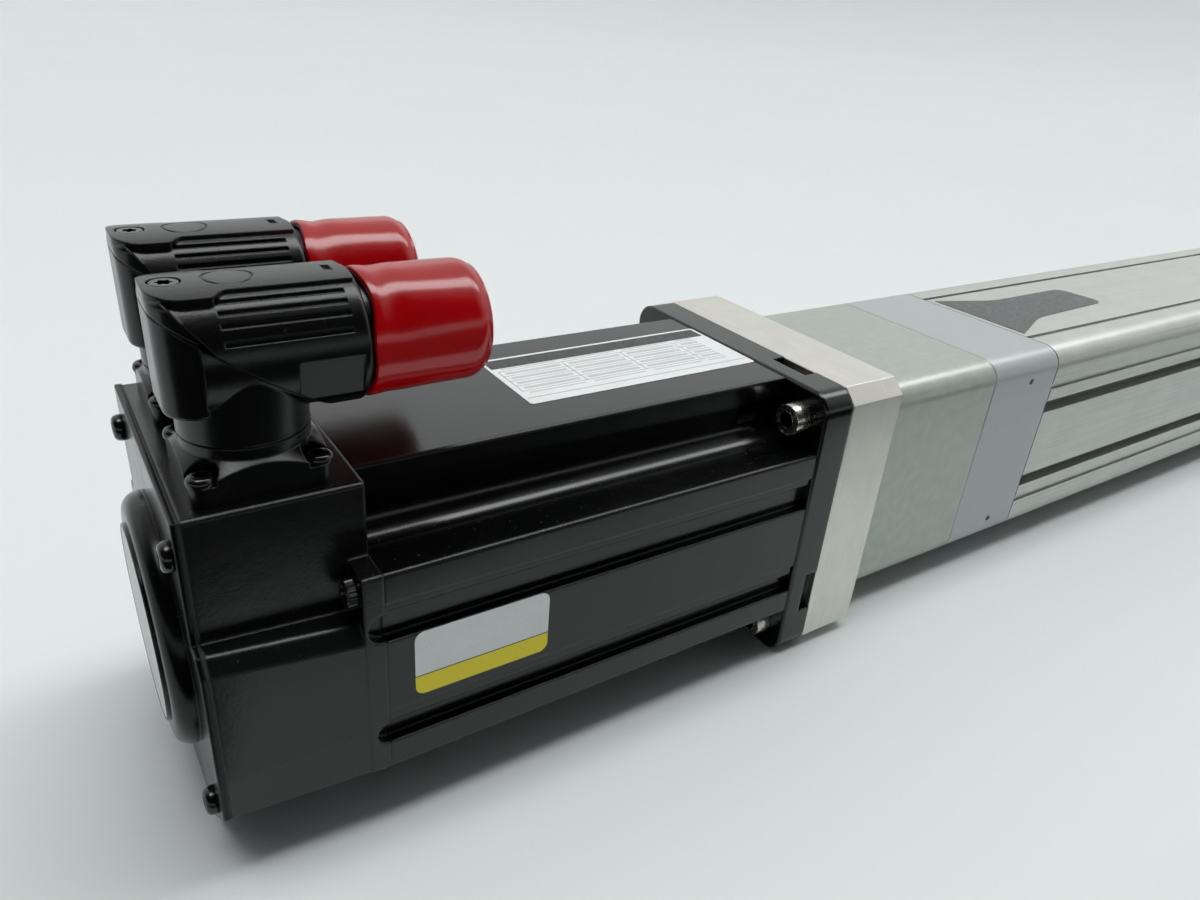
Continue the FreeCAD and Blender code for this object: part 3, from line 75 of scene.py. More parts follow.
# %% [markdown]
# ## The camera
# The photograph was taken from behind the motor, close, with a wide lens and a slight roll. Lens
# and place were solved from the square motor flange, so the camera is given as a place and two
# directions. A camera that is aimed with a constraint would lose the roll, so we build its matrix
# ourselves.

# %% Camera
PHOTO_WIDTH = 1200
FOCAL_PIXELS = 878.69
SENSOR = 36.0
NEAREST = 0.01
CAMERA_AT = Vector((-0.76596, -0.20861, 0.15009))
CAMERA_RIGHT = Vector((0.8353, -0.5447, 0.0746))
CAMERA_UP = Vector((0.1941, 0.4191, 0.8870))


def put_in_scene(name, data):
    obj = bpy.data.objects.new(name, data)
    bpy.context.scene.collection.objects.link(obj)
    return obj


def make_camera():
    data = bpy.data.cameras.new("camera")
    data.sensor_width = SENSOR
    data.lens = FOCAL_PIXELS / PHOTO_WIDTH * SENSOR
    data.clip_start = NEAREST
    camera = put_in_scene("camera", data)
    right = CAMERA_RIGHT.normalized()
    up = (CAMERA_UP - right * CAMERA_UP.dot(right)).normalized()
    turn = Matrix((right, up, right.cross(up))).transposed()
    camera.matrix_world = Matrix.Translation(CAMERA_AT) @ turn.to_4x4()
    bpy.context.scene.camera = camera
    return camera


camera = make_camera()
print("lens", round(camera.data.lens, 2), "mm")

# %% [markdown]
# ## A small kit for node materials
# Every finish here is a Principled shader fed by a few patterns on Object coordinates. All pieces
# share the frame's origin, so one pattern runs at its true size, in metres, over the whole
# machine. Node trees are easier to draw than to write, so the first helpers add a node and fill
# its sockets in one line.

# %% Node kit
def new_finish(name):
    finish = bpy.data.materials.new(name)
    finish.use_nodes = True
    return finish, finish.node_tree, finish.node_tree.nodes["Principled BSDF"]


def feed(tree, socket, value):
    """Links an output to a socket, or sets a plain value on it."""
    if isinstance(value, bpy.types.NodeSocket):
        tree.links.new(value, socket)
    else:
        socket.default_value = value


def feed_all(tree, node, values):
    for key, value in values.items():
        feed(tree, node.inputs[key], value)


def wire(tree, kind, inputs=None, **settings):
    node = tree.nodes.new("ShaderNode" + kind)
    for key, value in settings.items():
        setattr(node, key, value)
    feed_all(tree, node, inputs or {})
    return node


def place(tree):
    return wire(tree, "TexCoord").outputs["Object"]


print("node kit ready")

# %% [markdown]
# ## Patterns
# Nearly every pattern on this machine is a noise. Most of a noise lies between 0.3 and 0.7, so a
# map range picks that part out and turns it into an amount, which then blends two colours or
# shifts the gloss. Two amounts are multiplied where both have to hold.

# %% Patterns
WIDE, TIGHT = (0.3, 0.7), (0.35, 0.65)
MIX_AMOUNT, MIX_FIRST, MIX_SECOND, MIX_RESULT = 0, 6, 7, 2


def grain(tree, size, stretch=(1, 1, 1), detail=2.0):
    """A noise with spots about size metres wide; a small stretch draws it out along that axis."""
    spot = wire(tree, "Mapping", {"Vector": place(tree), "Scale": stretch}).outputs["Vector"]
    noise = wire(tree, "TexNoise", {"Vector": spot, "Scale": 1 / size, "Detail": detail})
    return noise.outputs["Fac"]


def spread(tree, value, low, high, new_low, new_high):
    """Maps the range low to high onto new_low to new_high and holds the ends."""
    ranges = {"Value": value, "From Min": low, "From Max": high,
              "To Min": new_low, "To Max": new_high}
    return wire(tree, "MapRange", ranges).outputs["Result"]


def sums(tree, operation, *values):
    return wire(tree, "Math", dict(enumerate(values)), operation=operation).outputs["Value"]


def times(tree, first, *others):
    for other in others:
        first = sums(tree, "MULTIPLY", first, other)
    return first


def scaled(tone, factor):
    return [min(1, c * factor) for c in tone]


def blend(tree, amount, first, second, mode="MIX"):
    node = wire(tree, "Mix", data_type="RGBA", blend_type=mode)
    for index, value in ((MIX_AMOUNT, amount), (MIX_FIRST, first), (MIX_SECOND, second)):
        feed(tree, node.inputs[index], (*value, 1) if isinstance(value, (tuple, list)) else value)
    return node.outputs[MIX_RESULT]


print("noise range", WIDE, "middle", TIGHT)

# %% [markdown]
# ## Edges and relief
# CAD edges are perfectly sharp, and no real edge is. The Bevel node rounds them in the shading
# alone, so the mesh stays as it is. Where that soft normal leaves the flat one there is an edge,
# which is where a finish rubs thin. A bump presses a pattern into the surface.

# %% Edges and relief
EDGE_SAMPLES = 6
FLAT_FACE, SHARP_TURN = 0.985, 0.8


def soft_edge(tree, radius):
    return wire(tree, "Bevel", {"Radius": radius}, samples=EDGE_SAMPLES).outputs["Normal"]


def near_edges(tree, radius):
    """1 where the surface turns sharply within the radius, 0 on open faces."""
    flat = wire(tree, "NewGeometry").outputs["Normal"]
    same = wire(tree, "VectorMath", {0: soft_edge(tree, radius), 1: flat}, operation="DOT_PRODUCT")
    return spread(tree, same.outputs["Value"], FLAT_FACE, SHARP_TURN, 0, 1)


def relief(tree, height, depth, under):
    bump = wire(tree, "Bump", {"Height": height, "Distance": depth, "Normal": under})
    return bump.outputs["Normal"]


print("an edge turns by", round(math.degrees(math.acos(FLAT_FACE)), 1), "degrees or more")

# %% [markdown]
# ## Black enamel
# The motor is sprayed with semi-gloss black. Real spray dries into a fine orange peel, which
# breaks up a highlight into grains, so two bumps of different size sit on top of the rounded
# edges. Dust lies on faces that look up, and edges are rubbed a little lighter. The end bell is a
# sand casting whose coarse skin shows through the paint, the connector shells are a finer
# die-casting, and the drawn rear cover mirrors least of all.

# %% Black enamel
PAINT_CLOUD, PAINT_DEEP = 0.03, 0.75
BROAD_PEEL, BROAD_HEIGHT = 6, 1.5
DUST_SIZE, DUST_MOST, DUST_COLOUR = 0.0009, 0.10, (0.22, 0.22, 0.21)
RUBBED_MOST, RUBBED_COLOUR = 0.5, (0.02, 0.021, 0.021)
COAT_ROUGH = 0.12
ENAMELS = (
    # name, tone, roughness, height and size of the peel, edge radius, clear coat, mirror strength
    ("black_castings", (0.0016, 0.0018, 0.0019), 0.18, 1.0e-5, 0.0005, 0.0011, 0.0, 0.5),
    ("rough_bell", (0.0030, 0.0033, 0.0035), 0.25, 3.2e-5, 0.0008, 0.0011, 0.0, 0.5),
    ("sheet_cover", (0.0014, 0.0015, 0.0016), 0.20, 4e-6, 0.0006, 0.0008, 0.0, 0.22),
    ("connector_shells", (0.0016, 0.0018, 0.0020), 0.23, 2.2e-5, 0.0005, 0.0006, 0.0, 0.42),
    ("black_fasteners", (0.0030, 0.0030, 0.0034), 0.18, 2e-6, 0.0004, 0.0002, 0.1, 0.5),
)


def black_paint(name, tone, rough, peel, peel_size, edge, coat, mirror):
    finish, tree, shader = new_finish(name)
    fine, broad = grain(tree, peel_size, detail=3), grain(tree, BROAD_PEEL * peel_size)
    cloud = grain(tree, PAINT_CLOUD, detail=3)
    normal = wire(tree, "NewGeometry").outputs["Normal"]
    up = wire(tree, "SeparateXYZ", {"Vector": normal}).outputs["Z"]
    specks = spread(tree, grain(tree, DUST_SIZE, detail=0), 0.77, 0.83, 0, DUST_MOST)
    dust = times(tree, specks, spread(tree, up, 0.2, 0.9, 0.1, 1))
    rubbed = times(tree, near_edges(tree, edge), spread(tree, fine, 0.4, 0.65, 0, RUBBED_MOST))
    shade = blend(tree, cloud, scaled(tone, PAINT_DEEP), tone)
    shade = blend(tree, rubbed, shade, RUBBED_COLOUR)
    bumps = relief(tree, broad, BROAD_HEIGHT * peel, soft_edge(tree, edge))
    feed_all(tree, shader, {
        "Base Color": blend(tree, dust, shade, DUST_COLOUR),
        "Roughness": spread(tree, cloud, *WIDE, rough - 0.03, rough + 0.05),
        "Specular IOR Level": mirror,
        "Coat Weight": coat,
        "Coat Roughness": COAT_ROUGH,
        "Normal": relief(tree, fine, peel, bumps),
    })
    return finish


finishes = {row[0]: black_paint(*row) for row in ENAMELS}
print("enamels", len(finishes))

# %% [markdown]
# ## Bare and plated metal
# Machining leaves lines: across the adapter plate, along the extruded barrel, around turned
# shafts. One stretched noise gives the lines their tone, gloss and depth together, which is what
# makes a metal read as worked and not as grey plastic. The number for each axis says how far the
# noise is drawn out along it. In the long slots of the barrel shade is painted into the colour:
# the tone falls off with how little open air a point has, as a painted shade.

# %% Metals
ACROSS_X, ALONG_X, COIL_X, EVEN = (1, 0.02, 0.02), (0.008, 1, 1), (0.05, 1, 1), (1, 1, 1)
METAL_EDGE, METAL_CLOUD = 0.0003, 0.012
CLOUD_DEEP, LINE_DEEP, EDGE_BRIGHT = 0.93, 0.78, 1.25
LINE_MOST, EDGE_MOST = 0.3, 0.4
# painted slot shade: reach and samples of the open-air test, and the colour of the painted shade
SLOT_SHADE_REACH, SLOT_SHADE_SAMPLES, SLOT_SHADE_COLOUR = 0.006, 8, (0.020, 0.020, 0.016)
METALS = (
    # name, tone, roughness, run of the lines, their width and depth, then metal and painted shade
    # if set
    ("bright_fasteners", (0.60, 0.58, 0.54), 0.26, EVEN, 0.0006, 3e-6),
    ("laminations", (0.34, 0.35, 0.37), 0.40, ACROSS_X, 0.0005, 2e-5),
    ("copper_coils", (0.72, 0.33, 0.16), 0.34, COIL_X, 0.0008, 4e-5),
    ("bearing_steel", (0.62, 0.63, 0.65), 0.20, ACROSS_X, 0.0004, 2e-6),
    ("magnets", (0.42, 0.43, 0.45), 0.32, EVEN, 0.0010, 3e-6),
    ("bare_aluminium", (0.70, 0.69, 0.63), 0.36, ACROSS_X, 0.0005, 5e-6),
    ("anodised_barrel", (0.545, 0.56, 0.53), 0.36, ALONG_X, 0.0007, 4e-6, 0.8, 0.8),
    ("chromed_rod", (0.75, 0.76, 0.78), 0.10, ACROSS_X, 0.0003, 4e-7),
    ("rod_steel", (0.50, 0.50, 0.51), 0.30, ACROSS_X, 0.0004, 2e-6),
    ("bush_bronze", (0.62, 0.42, 0.20), 0.30, ACROSS_X, 0.0004, 2e-6),
    ("gold_pins", (0.95, 0.68, 0.28), 0.16, ALONG_X, 0.0003, 1e-6),
)


def lined_metal(name, tone, rough, lines, size, depth, metal=1.0, painted_slot_shade=0.0):
    finish, tree, shader = new_finish(name)
    strokes = grain(tree, size, lines, detail=4)
    cloud = spread(tree, grain(tree, METAL_CLOUD, detail=4), *TIGHT, 0, 1)
    lined = spread(tree, strokes, 0.35, 0.7, 0, LINE_MOST)
    worn = times(tree, near_edges(tree, METAL_EDGE), EDGE_MOST)
    shade = blend(tree, cloud, scaled(tone, CLOUD_DEEP), tone)
    shade = blend(tree, lined, shade, scaled(tone, LINE_DEEP))
    shade = blend(tree, worn, shade, scaled(tone, EDGE_BRIGHT))
    # painted shade: the tone darkens where little open air reaches a point, as in the barrel's
    # slots
    if painted_slot_shade:
        reach = {"Distance": SLOT_SHADE_REACH}
        open_air = wire(tree, "AmbientOcclusion", reach, samples=SLOT_SHADE_SAMPLES).outputs["AO"]
        shade = blend(tree, spread(tree, open_air, 0.2, 0.6, painted_slot_shade, 0), shade, SLOT_SHADE_COLOUR)
    feed_all(tree, shader, {
        "Base Color": shade,
        "Metallic": metal,
        "Roughness": spread(tree, strokes, *WIDE, rough - 0.06, rough + 0.07),
        "Normal": relief(tree, strokes, depth, soft_edge(tree, METAL_EDGE)),
    })
    return finish


finishes.update({row[0]: lined_metal(*row) for row in METALS})
print("with metals", len(finishes))

# %% [markdown]
# ## Coated and moulded pieces
# The housing next to the plate has a satin grey-green skin with a cloudy, mottled look; the end
# caps are powder coated, which dries into tiny pimples, whose low spots get a painted shade;
# rubber and plastics are duller. One function takes the size of the cloud and of the pimples,
# since only those change from one to the next.

# %% Coatings and plastics
MOULDED_EDGE = 0.0005
# painted shade in the pimples' low spots: how dark it gets, and how much of it at most
PIT_SHADE_DEEP, PIT_SHADE_MOST = 0.6, 0.12
COATINGS = (
    # name, tone, roughness, size and depth of the cloud, size and height of the pimples, metal
    ("grey_green_aluminium", (0.415, 0.455, 0.41), 0.34, 0.0045, 0.13, 0.0007, 4e-6, 0.5),
    ("blue_grey_caps", (0.425, 0.455, 0.46), 0.38, 0.010, 0.05, 0.0006, 8e-6, 0.4),
    ("seal_rubber", (0.012, 0.012, 0.013), 0.62, 0.004, 0.3, 0.0004, 1e-5, 0.0),
    ("encoder_plastic", (0.020, 0.050, 0.036), 0.50, 0.006, 0.2, 0.0006, 6e-6, 0.0),
    ("spider_elastomer", (0.42, 0.040, 0.020), 0.48, 0.005, 0.2, 0.0006, 8e-6, 0.0),
    ("guide_polymer", (0.50, 0.46, 0.36), 0.45, 0.006, 0.1, 0.0006, 5e-6, 0.0),
    ("connector_plastic", (0.016, 0.016, 0.018), 0.42, 0.004, 0.2, 0.0005, 5e-6, 0.0),
)


def moulded(name, tone, rough, cloud_size, cloud_depth, pimple_size, pimple, metal):
    finish, tree, shader = new_finish(name)
    cloud = spread(tree, grain(tree, cloud_size, detail=5), *TIGHT, 0, 1)
    bumps = grain(tree, pimple_size, detail=2)
    # painted shade: the low spots of the pimple bump are coloured darker
    pit_shade = spread(tree, bumps, *TIGHT, PIT_SHADE_MOST, 0)
    shade = blend(tree, cloud, scaled(tone, 1 - cloud_depth), tone)
    feed_all(tree, shader, {
        "Base Color": blend(tree, pit_shade, shade, scaled(tone, PIT_SHADE_DEEP)),
        "Metallic": metal,
        "Roughness": spread(tree, cloud, 0, 1, rough - 0.04, rough + 0.05),
        "Normal": relief(tree, bumps, pimple, soft_edge(tree, MOULDED_EDGE)),
    })
    return finish


finishes.update({row[0]: moulded(*row) for row in COATINGS})
print("with coatings", len(finishes))

# %% [markdown]
# ## Red vinyl
# The connectors wear dip-moulded vinyl caps: soft, glossy, a little translucent, with shallow
# dents where the soft skin follows what it covers. A clear coat gives the sharp gloss, a broad
# bump the dents, and a touch of subsurface light the depth of colour.

# %% Red vinyl
VINYL_RED, VINYL_DEEP = (0.37, 0.0005, 0.0025), 0.82
DENT_SIZE, DENT_DEPTH = 0.009, 1.2e-4
SKIN_SIZE, SKIN_DEPTH = 0.0008, 2e-6
VINYL_CLOUD, VINYL_EDGE = 0.02, 0.0004


def vinyl(name, tone):
    finish, tree, shader = new_finish(name)
    dents, skin = grain(tree, DENT_SIZE, detail=1), grain(tree, SKIN_SIZE, detail=3)
    deep = spread(tree, grain(tree, VINYL_CLOUD, detail=3), *WIDE, 0, 1)
    bumps = relief(tree, dents, DENT_DEPTH, soft_edge(tree, VINYL_EDGE))
    feed_all(tree, shader, {
        "Base Color": blend(tree, deep, scaled(tone, VINYL_DEEP), tone),
        "Roughness": spread(tree, skin, *WIDE, 0.14, 0.22),
        "Subsurface Weight": 0.05,
        "Subsurface Radius": (0.002, 0.0004, 0.0004),
        "Subsurface Scale": 1.0,
        "Coat Weight": 0.15,
        "Coat Roughness": 0.06,
        "Normal": relief(tree, skin, SKIN_DEPTH, bumps),
    })
    return finish


finishes["red_vinyl"] = vinyl("red_vinyl", VINYL_RED)
print("with vinyl", len(finishes))

# %% [markdown]
# ## Dressing the CAD pieces
# The record says which material slot each node uses, so most nodes are dressed by a loop. The
# end bell, the rear cover and the connector shells share the motor's slot but not its skin, so
# they are picked by name.

# %% Dress the nodes
CONNECTORS = ("power", "feedback")
OWN_SKIN = {"rear_end_bell": "rough_bell", "rear_cover": "sheet_cover"}
for connector in CONNECTORS:
    for shell in ("_elbow_lower", "_elbow_upper", "_base"):
        OWN_SKIN[connector + shell] = "connector_shells"
for part in frame["record"]["subparts"]:
    node = nodes[part["node"]]
    node.data.materials.clear()
    node.data.materials.append(finishes[OWN_SKIN.get(part["node"], part["material_slot"])])
print("dressed", len(nodes), "nodes")

# %% [markdown]
# ## Keeping a piece
# Each piece we model ends the same way: its normals are made to face out, it becomes a mesh
# object at the origin, its round faces are smoothed and its corners kept, and it rides on a body.
# It takes the finish of its slot, or one of its own. Where it stands for a CAD node, that node is
# hidden.

# %% Keep a piece
CORNER_ANGLE = 35


def as_mesh(bm, name):
    mesh = bpy.data.meshes.new(name)
    bm.to_mesh(mesh)
    bm.free()
    return mesh


def keep(bm, name, body, slot=None, stands_for=None, finish=None, corner=CORNER_ANGLE):
    bmesh.ops.recalc_face_normals(bm, faces=bm.faces)
    mesh = as_mesh(bm, name)
    mesh.materials.append(finish or finishes[slot])
    mesh.shade_smooth()
    mesh.set_sharp_from_angle(angle=math.radians(corner))
    piece = put_in_scene(name, mesh)
    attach(piece, body)
    if stands_for:
        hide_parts(stands_for)
    return piece


# %% [markdown]
# ## Screws with real drives
# CAD screws are plain cylinders. Up close we want a chamfered or domed head with a drive sunk in
# it. A head is a line of points spun about Z. One finished screw is then copied to every place,
# each turned to a different angle as a fitter would leave it.

# %% Screw kit
STEPS = 48
WELD = 1e-6
chance = random.Random(7)


def turned(bm, profile, steps=STEPS):
    """Spins (radius, height) points, in millimetres, about the Z axis."""
    line = [bm.verts.new((r * MM, 0, z * MM)) for r, z in profile]
    edges = [bm.edges.new(pair) for pair in zip(line, line[1:])]
    bmesh.ops.spin(bm, geom=line + edges, cent=(0, 0, 0), axis=(0, 0, 1), angle=math.tau,
                   steps=steps, use_merge=True, use_duplicate=False)
    bmesh.ops.remove_doubles(bm, verts=bm.verts, dist=WELD)


def copies(bm, places, out):
    """The one screw in bm, copied to each place with its head towards out."""
    one = as_mesh(bm, "one_screw")
    many = bmesh.new()
    aim = Vector((0, 0, 1)).rotation_difference(Vector(out)).to_matrix().to_4x4()
    for spot in places:
        done = len(many.verts)
        many.from_mesh(one)
        many.verts.ensure_lookup_table()
        turn = Matrix.Rotation(chance.uniform(0, math.tau), 4, "Z")
        put = Matrix.Translation(Vector(spot) * MM) @ aim @ turn
        bmesh.ops.transform(many, matrix=put, verts=many.verts[done:])
    bpy.data.meshes.remove(one)
    return many


print("screw kit ready,", STEPS, "steps round")

# %% [markdown]
# ## Drives
# A hexagon or a six-lobed drive could be cut with a boolean, but that leaves thin faces. Ours is a
# circle whose points are pushed in or out to the drive's outline, bridged to the head's open rim,
# and extruded down, so the head stays one clean skin.

# %% Drives
LOBE_DEEP = 0.17


def hexagon(angle, size):
    return size / math.cos((angle + math.pi / 6) % (math.pi / 3) - math.pi / 6)


def six_lobes(angle, size):
    return size * (1 + LOBE_DEEP * math.cos(6 * angle))


def sink_drive(bm, top, outline, size, depth):
    rim = [e for e in bm.edges if e.is_boundary]
    mouth = bmesh.ops.create_circle(bm, segments=STEPS, radius=1)["verts"]
    for v in mouth:
        angle = math.atan2(v.co.y, v.co.x)
        reach = outline(angle, size) * MM
        v.co = (reach * math.cos(angle), reach * math.sin(angle), top * MM)
    edges = [e for e in bm.edges if e.verts[0] in mouth and e.verts[1] in mouth]
    bmesh.ops.bridge_loops(bm, edges=rim + edges)
    walls = bmesh.ops.extrude_edge_only(bm, edges=edges)["geom"]
    low = [g for g in walls if isinstance(g, bmesh.types.BMVert)]
    bmesh.ops.translate(bm, verts=low, vec=(0, 0, -depth * MM))
    bmesh.ops.contextual_create(bm, geom=[g for g in walls if isinstance(g, bmesh.types.BMEdge)])


print("drives", hexagon.__name__, six_lobes.__name__)

# %% [markdown]
# ## Socket screws
# The motor is held by bright socket screws whose heads sit in pockets at the corners of the
# frame, and the front head has four more, sunk flush. Head and shank are one turned profile, so
# nothing shows through the drive.

# %% Socket screws
BOLT_AT, HEAD_SCREW_AT = 39.0, 32.0
SOCKET_R, SOCKET_HEIGHT, SOCKET_SHANK = 5, 6, 3


def socket_screw(head, height, shank, length):
    bm = bmesh.new()
    turned(bm, [(0.70 * head, height), (head - 0.45, height), (head - 0.12, height - 0.15),
                (head, height - 0.5), (head, 0.2), (head - 0.2, 0), (shank, 0), (shank, -length),
                (0, -length)])
    sink_drive(bm, height, hexagon, 0.5 * head, 0.55 * height)
    return bm


def node_ends(name):
    low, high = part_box(name)
    return low.x / MM, high.x / MM


for name, node, at, out in (("motor_socket_screws", "motor_bolts", BOLT_AT, -1),
                            ("front_socket_screws", "head_screws", HEAD_SCREW_AT, 1)):
    rear, front = node_ends(node)
    seat = front - SOCKET_HEIGHT if out > 0 else rear + SOCKET_HEIGHT
    places = [(seat, y * at, z * at) for y in (-1, 1) for z in (-1, 1)]
    screw = socket_screw(SOCKET_R, SOCKET_HEIGHT, SOCKET_SHANK, front - rear - SOCKET_HEIGHT)
    piece = keep(copies(screw, places, (out, 0, 0)), name, "housing", "bright_fasteners", node)
    print(name, len(piece.data.polygons), "faces")

# %% [markdown]
# ## Black pan screws
# The rear cover and the connector feet are held by small black screws with six-lobed drives.
# Their heads are domed, so each catches two points of light. A dome is only a few more points in
# the turned profile.

# %% Pan screws
COVER_SCREWS = ((34.0, 39.0), (36.0, -31.5))
COVER_R, COVER_HEIGHT, COVER_SHANK, COVER_DRIVE = 3.6, 2.6, 2, 1.55
FOOT_X, FOOT_Y, FOOT_HALF = -730.4, 21.6, 12.4
FOOT_R, FOOT_HEIGHT, FOOT_SHANK, FOOT_DRIVE = 3, 2.2, 1.5, 1.3


def pan_screw(head, height, shank, length, drive):
    bm = bmesh.new()
    turned(bm, [(0.62 * head, height), (0.80 * head, 0.90 * height), (0.93 * head, 0.70 * height),
                (0.99 * head, 0.42 * height), (head, 0.15 * height), (0.97 * head, 0), (shank, 0),
                (shank, -length), (0, -length)])
    sink_drive(bm, height, six_lobes, drive, 0.6 * height)
    return bm


rear, front = node_ends("rear_cover_screws")
places = [(rear + COVER_HEIGHT, side * y, z) for y, z in COVER_SCREWS for side in (-1, 1)]
screw = pan_screw(COVER_R, COVER_HEIGHT, COVER_SHANK, front - rear - COVER_HEIGHT, COVER_DRIVE)
keep(copies(screw, places, (-1, 0, 0)), "cover_pan_screws", "housing", "black_fasteners",
     "rear_cover_screws")
print("cover screws", len(places))
low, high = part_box("base_screws")
places = [(FOOT_X + a * FOOT_HALF, side * FOOT_Y + b * FOOT_HALF, high.z / MM - FOOT_HEIGHT)
          for side in (-1, 1) for a in (-1, 1) for b in (-1, 1)]
screw = pan_screw(FOOT_R, FOOT_HEIGHT, FOOT_SHANK, (high.z - low.z) / MM - FOOT_HEIGHT, FOOT_DRIVE)
keep(copies(screw, places, (0, 0, 1)), "foot_pan_screws", "housing", "black_fasteners",
     "base_screws")
print("foot screws", len(places))

# %% [markdown]
# ## Shell screws
# One flat screw clamps each angled connector shell to its foot, its head almost level with the
# shell. It is a turned profile again, with a six-lobed drive sunk into the head; it rides on the
# connector, so it turns along when the connector swivels.

# %% Shell screws
SHELL_SEAT = 1.8
SHELL_R, SHELL_HEIGHT, SHELL_SHANK, SHELL_DRIVE = 3, 2.25, 1.5, 1.45


def flat_screw(head, height, shank, length, drive):
    bm = bmesh.new()
    turned(bm, [(0.66 * head, height), (head - 0.25, height), (head, height - 0.3), (head, 0),
                (shank, 0), (shank, -length), (0, -length)])
    sink_drive(bm, height, six_lobes, drive, 0.7 * height)
    return bm


for name in CONNECTORS:
    low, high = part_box(name + "_elbow_screw")
    spot = ((low.x + high.x) / 2 / MM, (low.y + high.y) / 2 / MM, high.z / MM - SHELL_SEAT)
    length = (high.z - low.z) / MM - SHELL_SEAT
    screw = flat_screw(SHELL_R, SHELL_HEIGHT, SHELL_SHANK, length, SHELL_DRIVE)
    piece = keep(copies(screw, [spot], (0, 0, 1)), name + "_shell_screw", name + "_elbow",
                 "black_fasteners", name + "_elbow_screw")
    print(piece.name, "at", [round(v, 1) for v in spot])

# %% [markdown]
# ## The earth screw
# On the near side of the end bell sits an earth screw with a ribbed thumb head. The ribs are
# pressed into a spun head by pulling in every second column of points, which is all that a knurl
# is at this size.

# %% Earth screw
EARTH_R, EARTH_HEIGHT, EARTH_SHANK = 3.3, 3.1, 2
RIB_PULL, RIB_CORNER = 0.93, 25


def ribbed_screw(head, height, shank, length):
    bm = bmesh.new()
    turned(bm, [(0, height - 0.5), (1.9, height - 0.5), (2.2, height), (head - 0.5, height),
                (head, height - 0.45), (head, 0.7), (head - 0.5, 0.2), (head - 0.5, 0), (shank, 0),
                (shank, -length), (0, -length)])
    for v in bm.verts:
        column = round(math.atan2(v.co.y, v.co.x) / math.tau * STEPS)
        if column % 2 and v.co.xy.length > (head - 0.1) * MM:
            v.co.xy *= RIB_PULL
    return bm


low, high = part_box("ground_screw")
spot = (low.x / MM + EARTH_HEIGHT, (low.y + high.y) / 2 / MM, (low.z + high.z) / 2 / MM)
screw = ribbed_screw(EARTH_R, EARTH_HEIGHT, EARTH_SHANK, (high.x - low.x) / MM - EARTH_HEIGHT)
keep(copies(screw, [spot], (-1, 0, 0)), "earth_screw", "housing", "black_fasteners",
     "ground_screw", corner=RIB_CORNER)
print("earth screw at", [round(v, 1) for v in spot])

# %% [markdown]
# ## Red caps with soft mouths
# A dipped cap is never a perfect cylinder: its mouth is trimmed by hand and ripples, and its skin
# sinks a little behind the edge of what it covers. We spin a wall with a closed, rounded end, then
# move its points: the mouth only forwards, the skin only inwards, so the cap stays inside the
# space that CAD gave it.

# %% Red caps
CAP_R, CAP_BORE, CAP_LEN, CAP_END = 15.0, 13.3, 30.2, 2.0
CAP_BEND, BORE_BEND = 5.0, 3.0
CAP_STEPS = 96
RING_START, RING_PITCH, RINGS = 1.0, 1.7, 15
BORE_START, BORE_PITCH, BORE_RINGS = 22.0, 4.0, 6
CAP_TAPER = 0.4
GROOVE_AT, GROOVE_WIDE, GROOVE_DEEP = 5.5, 2.6, 0.55
RIPPLE_HIGH, RIPPLE_REACH = 1.5, 9
CAP_PHASES = (0.4, 2.1)


def arc(r, height, bend, count):
    """Quarter circle from the side wall to the closed end."""
    turns = [i / count * math.pi / 2 for i in range(count + 1)]
    return [(r - bend + bend * math.cos(t), height - bend + bend * math.sin(t)) for t in turns]


def soften(v, phase):
    a, along = math.atan2(v.co.y, v.co.x), v.co.z / MM
    if v.co.xy.length > (CAP_BORE + 0.2) * MM:
        sag = 0.16 + 0.09 * math.sin(3 * a + phase) + 0.06 * math.sin(5 * a - along / 6 + phase)
        groove = GROOVE_DEEP * math.exp(-((along - GROOVE_AT) / GROOVE_WIDE) ** 2)
        groove *= 0.6 + 0.4 * math.sin(2 * a + phase)
        v.co.xy *= 1 - (sag + groove + CAP_TAPER * along / CAP_LEN) / CAP_R
    ripple = 0.5 + 0.28 * math.sin(2 * a + phase) + 0.22 * math.sin(5 * a + 2 * phase)
    v.co.z += RIPPLE_HIGH * MM * ripple * max(0, 1 - along / RIPPLE_REACH) ** 2


def soft_cap(phase):
    bm = bmesh.new()
    mouth = [(CAP_BORE, 0.3), (CAP_BORE + 0.4, 0), (CAP_R - 0.7, 0), (CAP_R - 0.2, 0.3)]
    wall = [(CAP_R, RING_START + RING_PITCH * i) for i in range(RINGS)]
    end = arc(CAP_R, CAP_LEN, CAP_BEND, 9) + [(4, CAP_LEN), (0, CAP_LEN)]
    inside = arc(CAP_BORE, CAP_LEN - CAP_END, BORE_BEND, 5)
    hollow = [(CAP_BORE, BORE_START - BORE_PITCH * i) for i in range(BORE_RINGS)]
    turned(bm, mouth + wall + end, CAP_STEPS)
    turned(bm, [(0, CAP_LEN - CAP_END)] + inside[::-1] + hollow + mouth[:1], CAP_STEPS)
    bmesh.ops.remove_doubles(bm, verts=bm.verts, dist=WELD)
    for v in bm.verts:
        soften(v, phase)
    return bm


for name, phase in zip(CONNECTORS, CAP_PHASES):
    low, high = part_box(name + "_cap")
    middle = (low + high) / 2
    bm = soft_cap(phase)
    forwards = Matrix.Rotation(math.pi / 2, 4, "Y")
    put = Matrix.Translation((low.x, middle.y, middle.z)) @ forwards
    bmesh.ops.transform(bm, matrix=put, verts=bm.verts)
    cap = keep(bm, name + "_soft_cap", name + "_cap", "red_vinyl", name + "_cap")
    print(cap.name, len(cap.data.polygons), "faces")

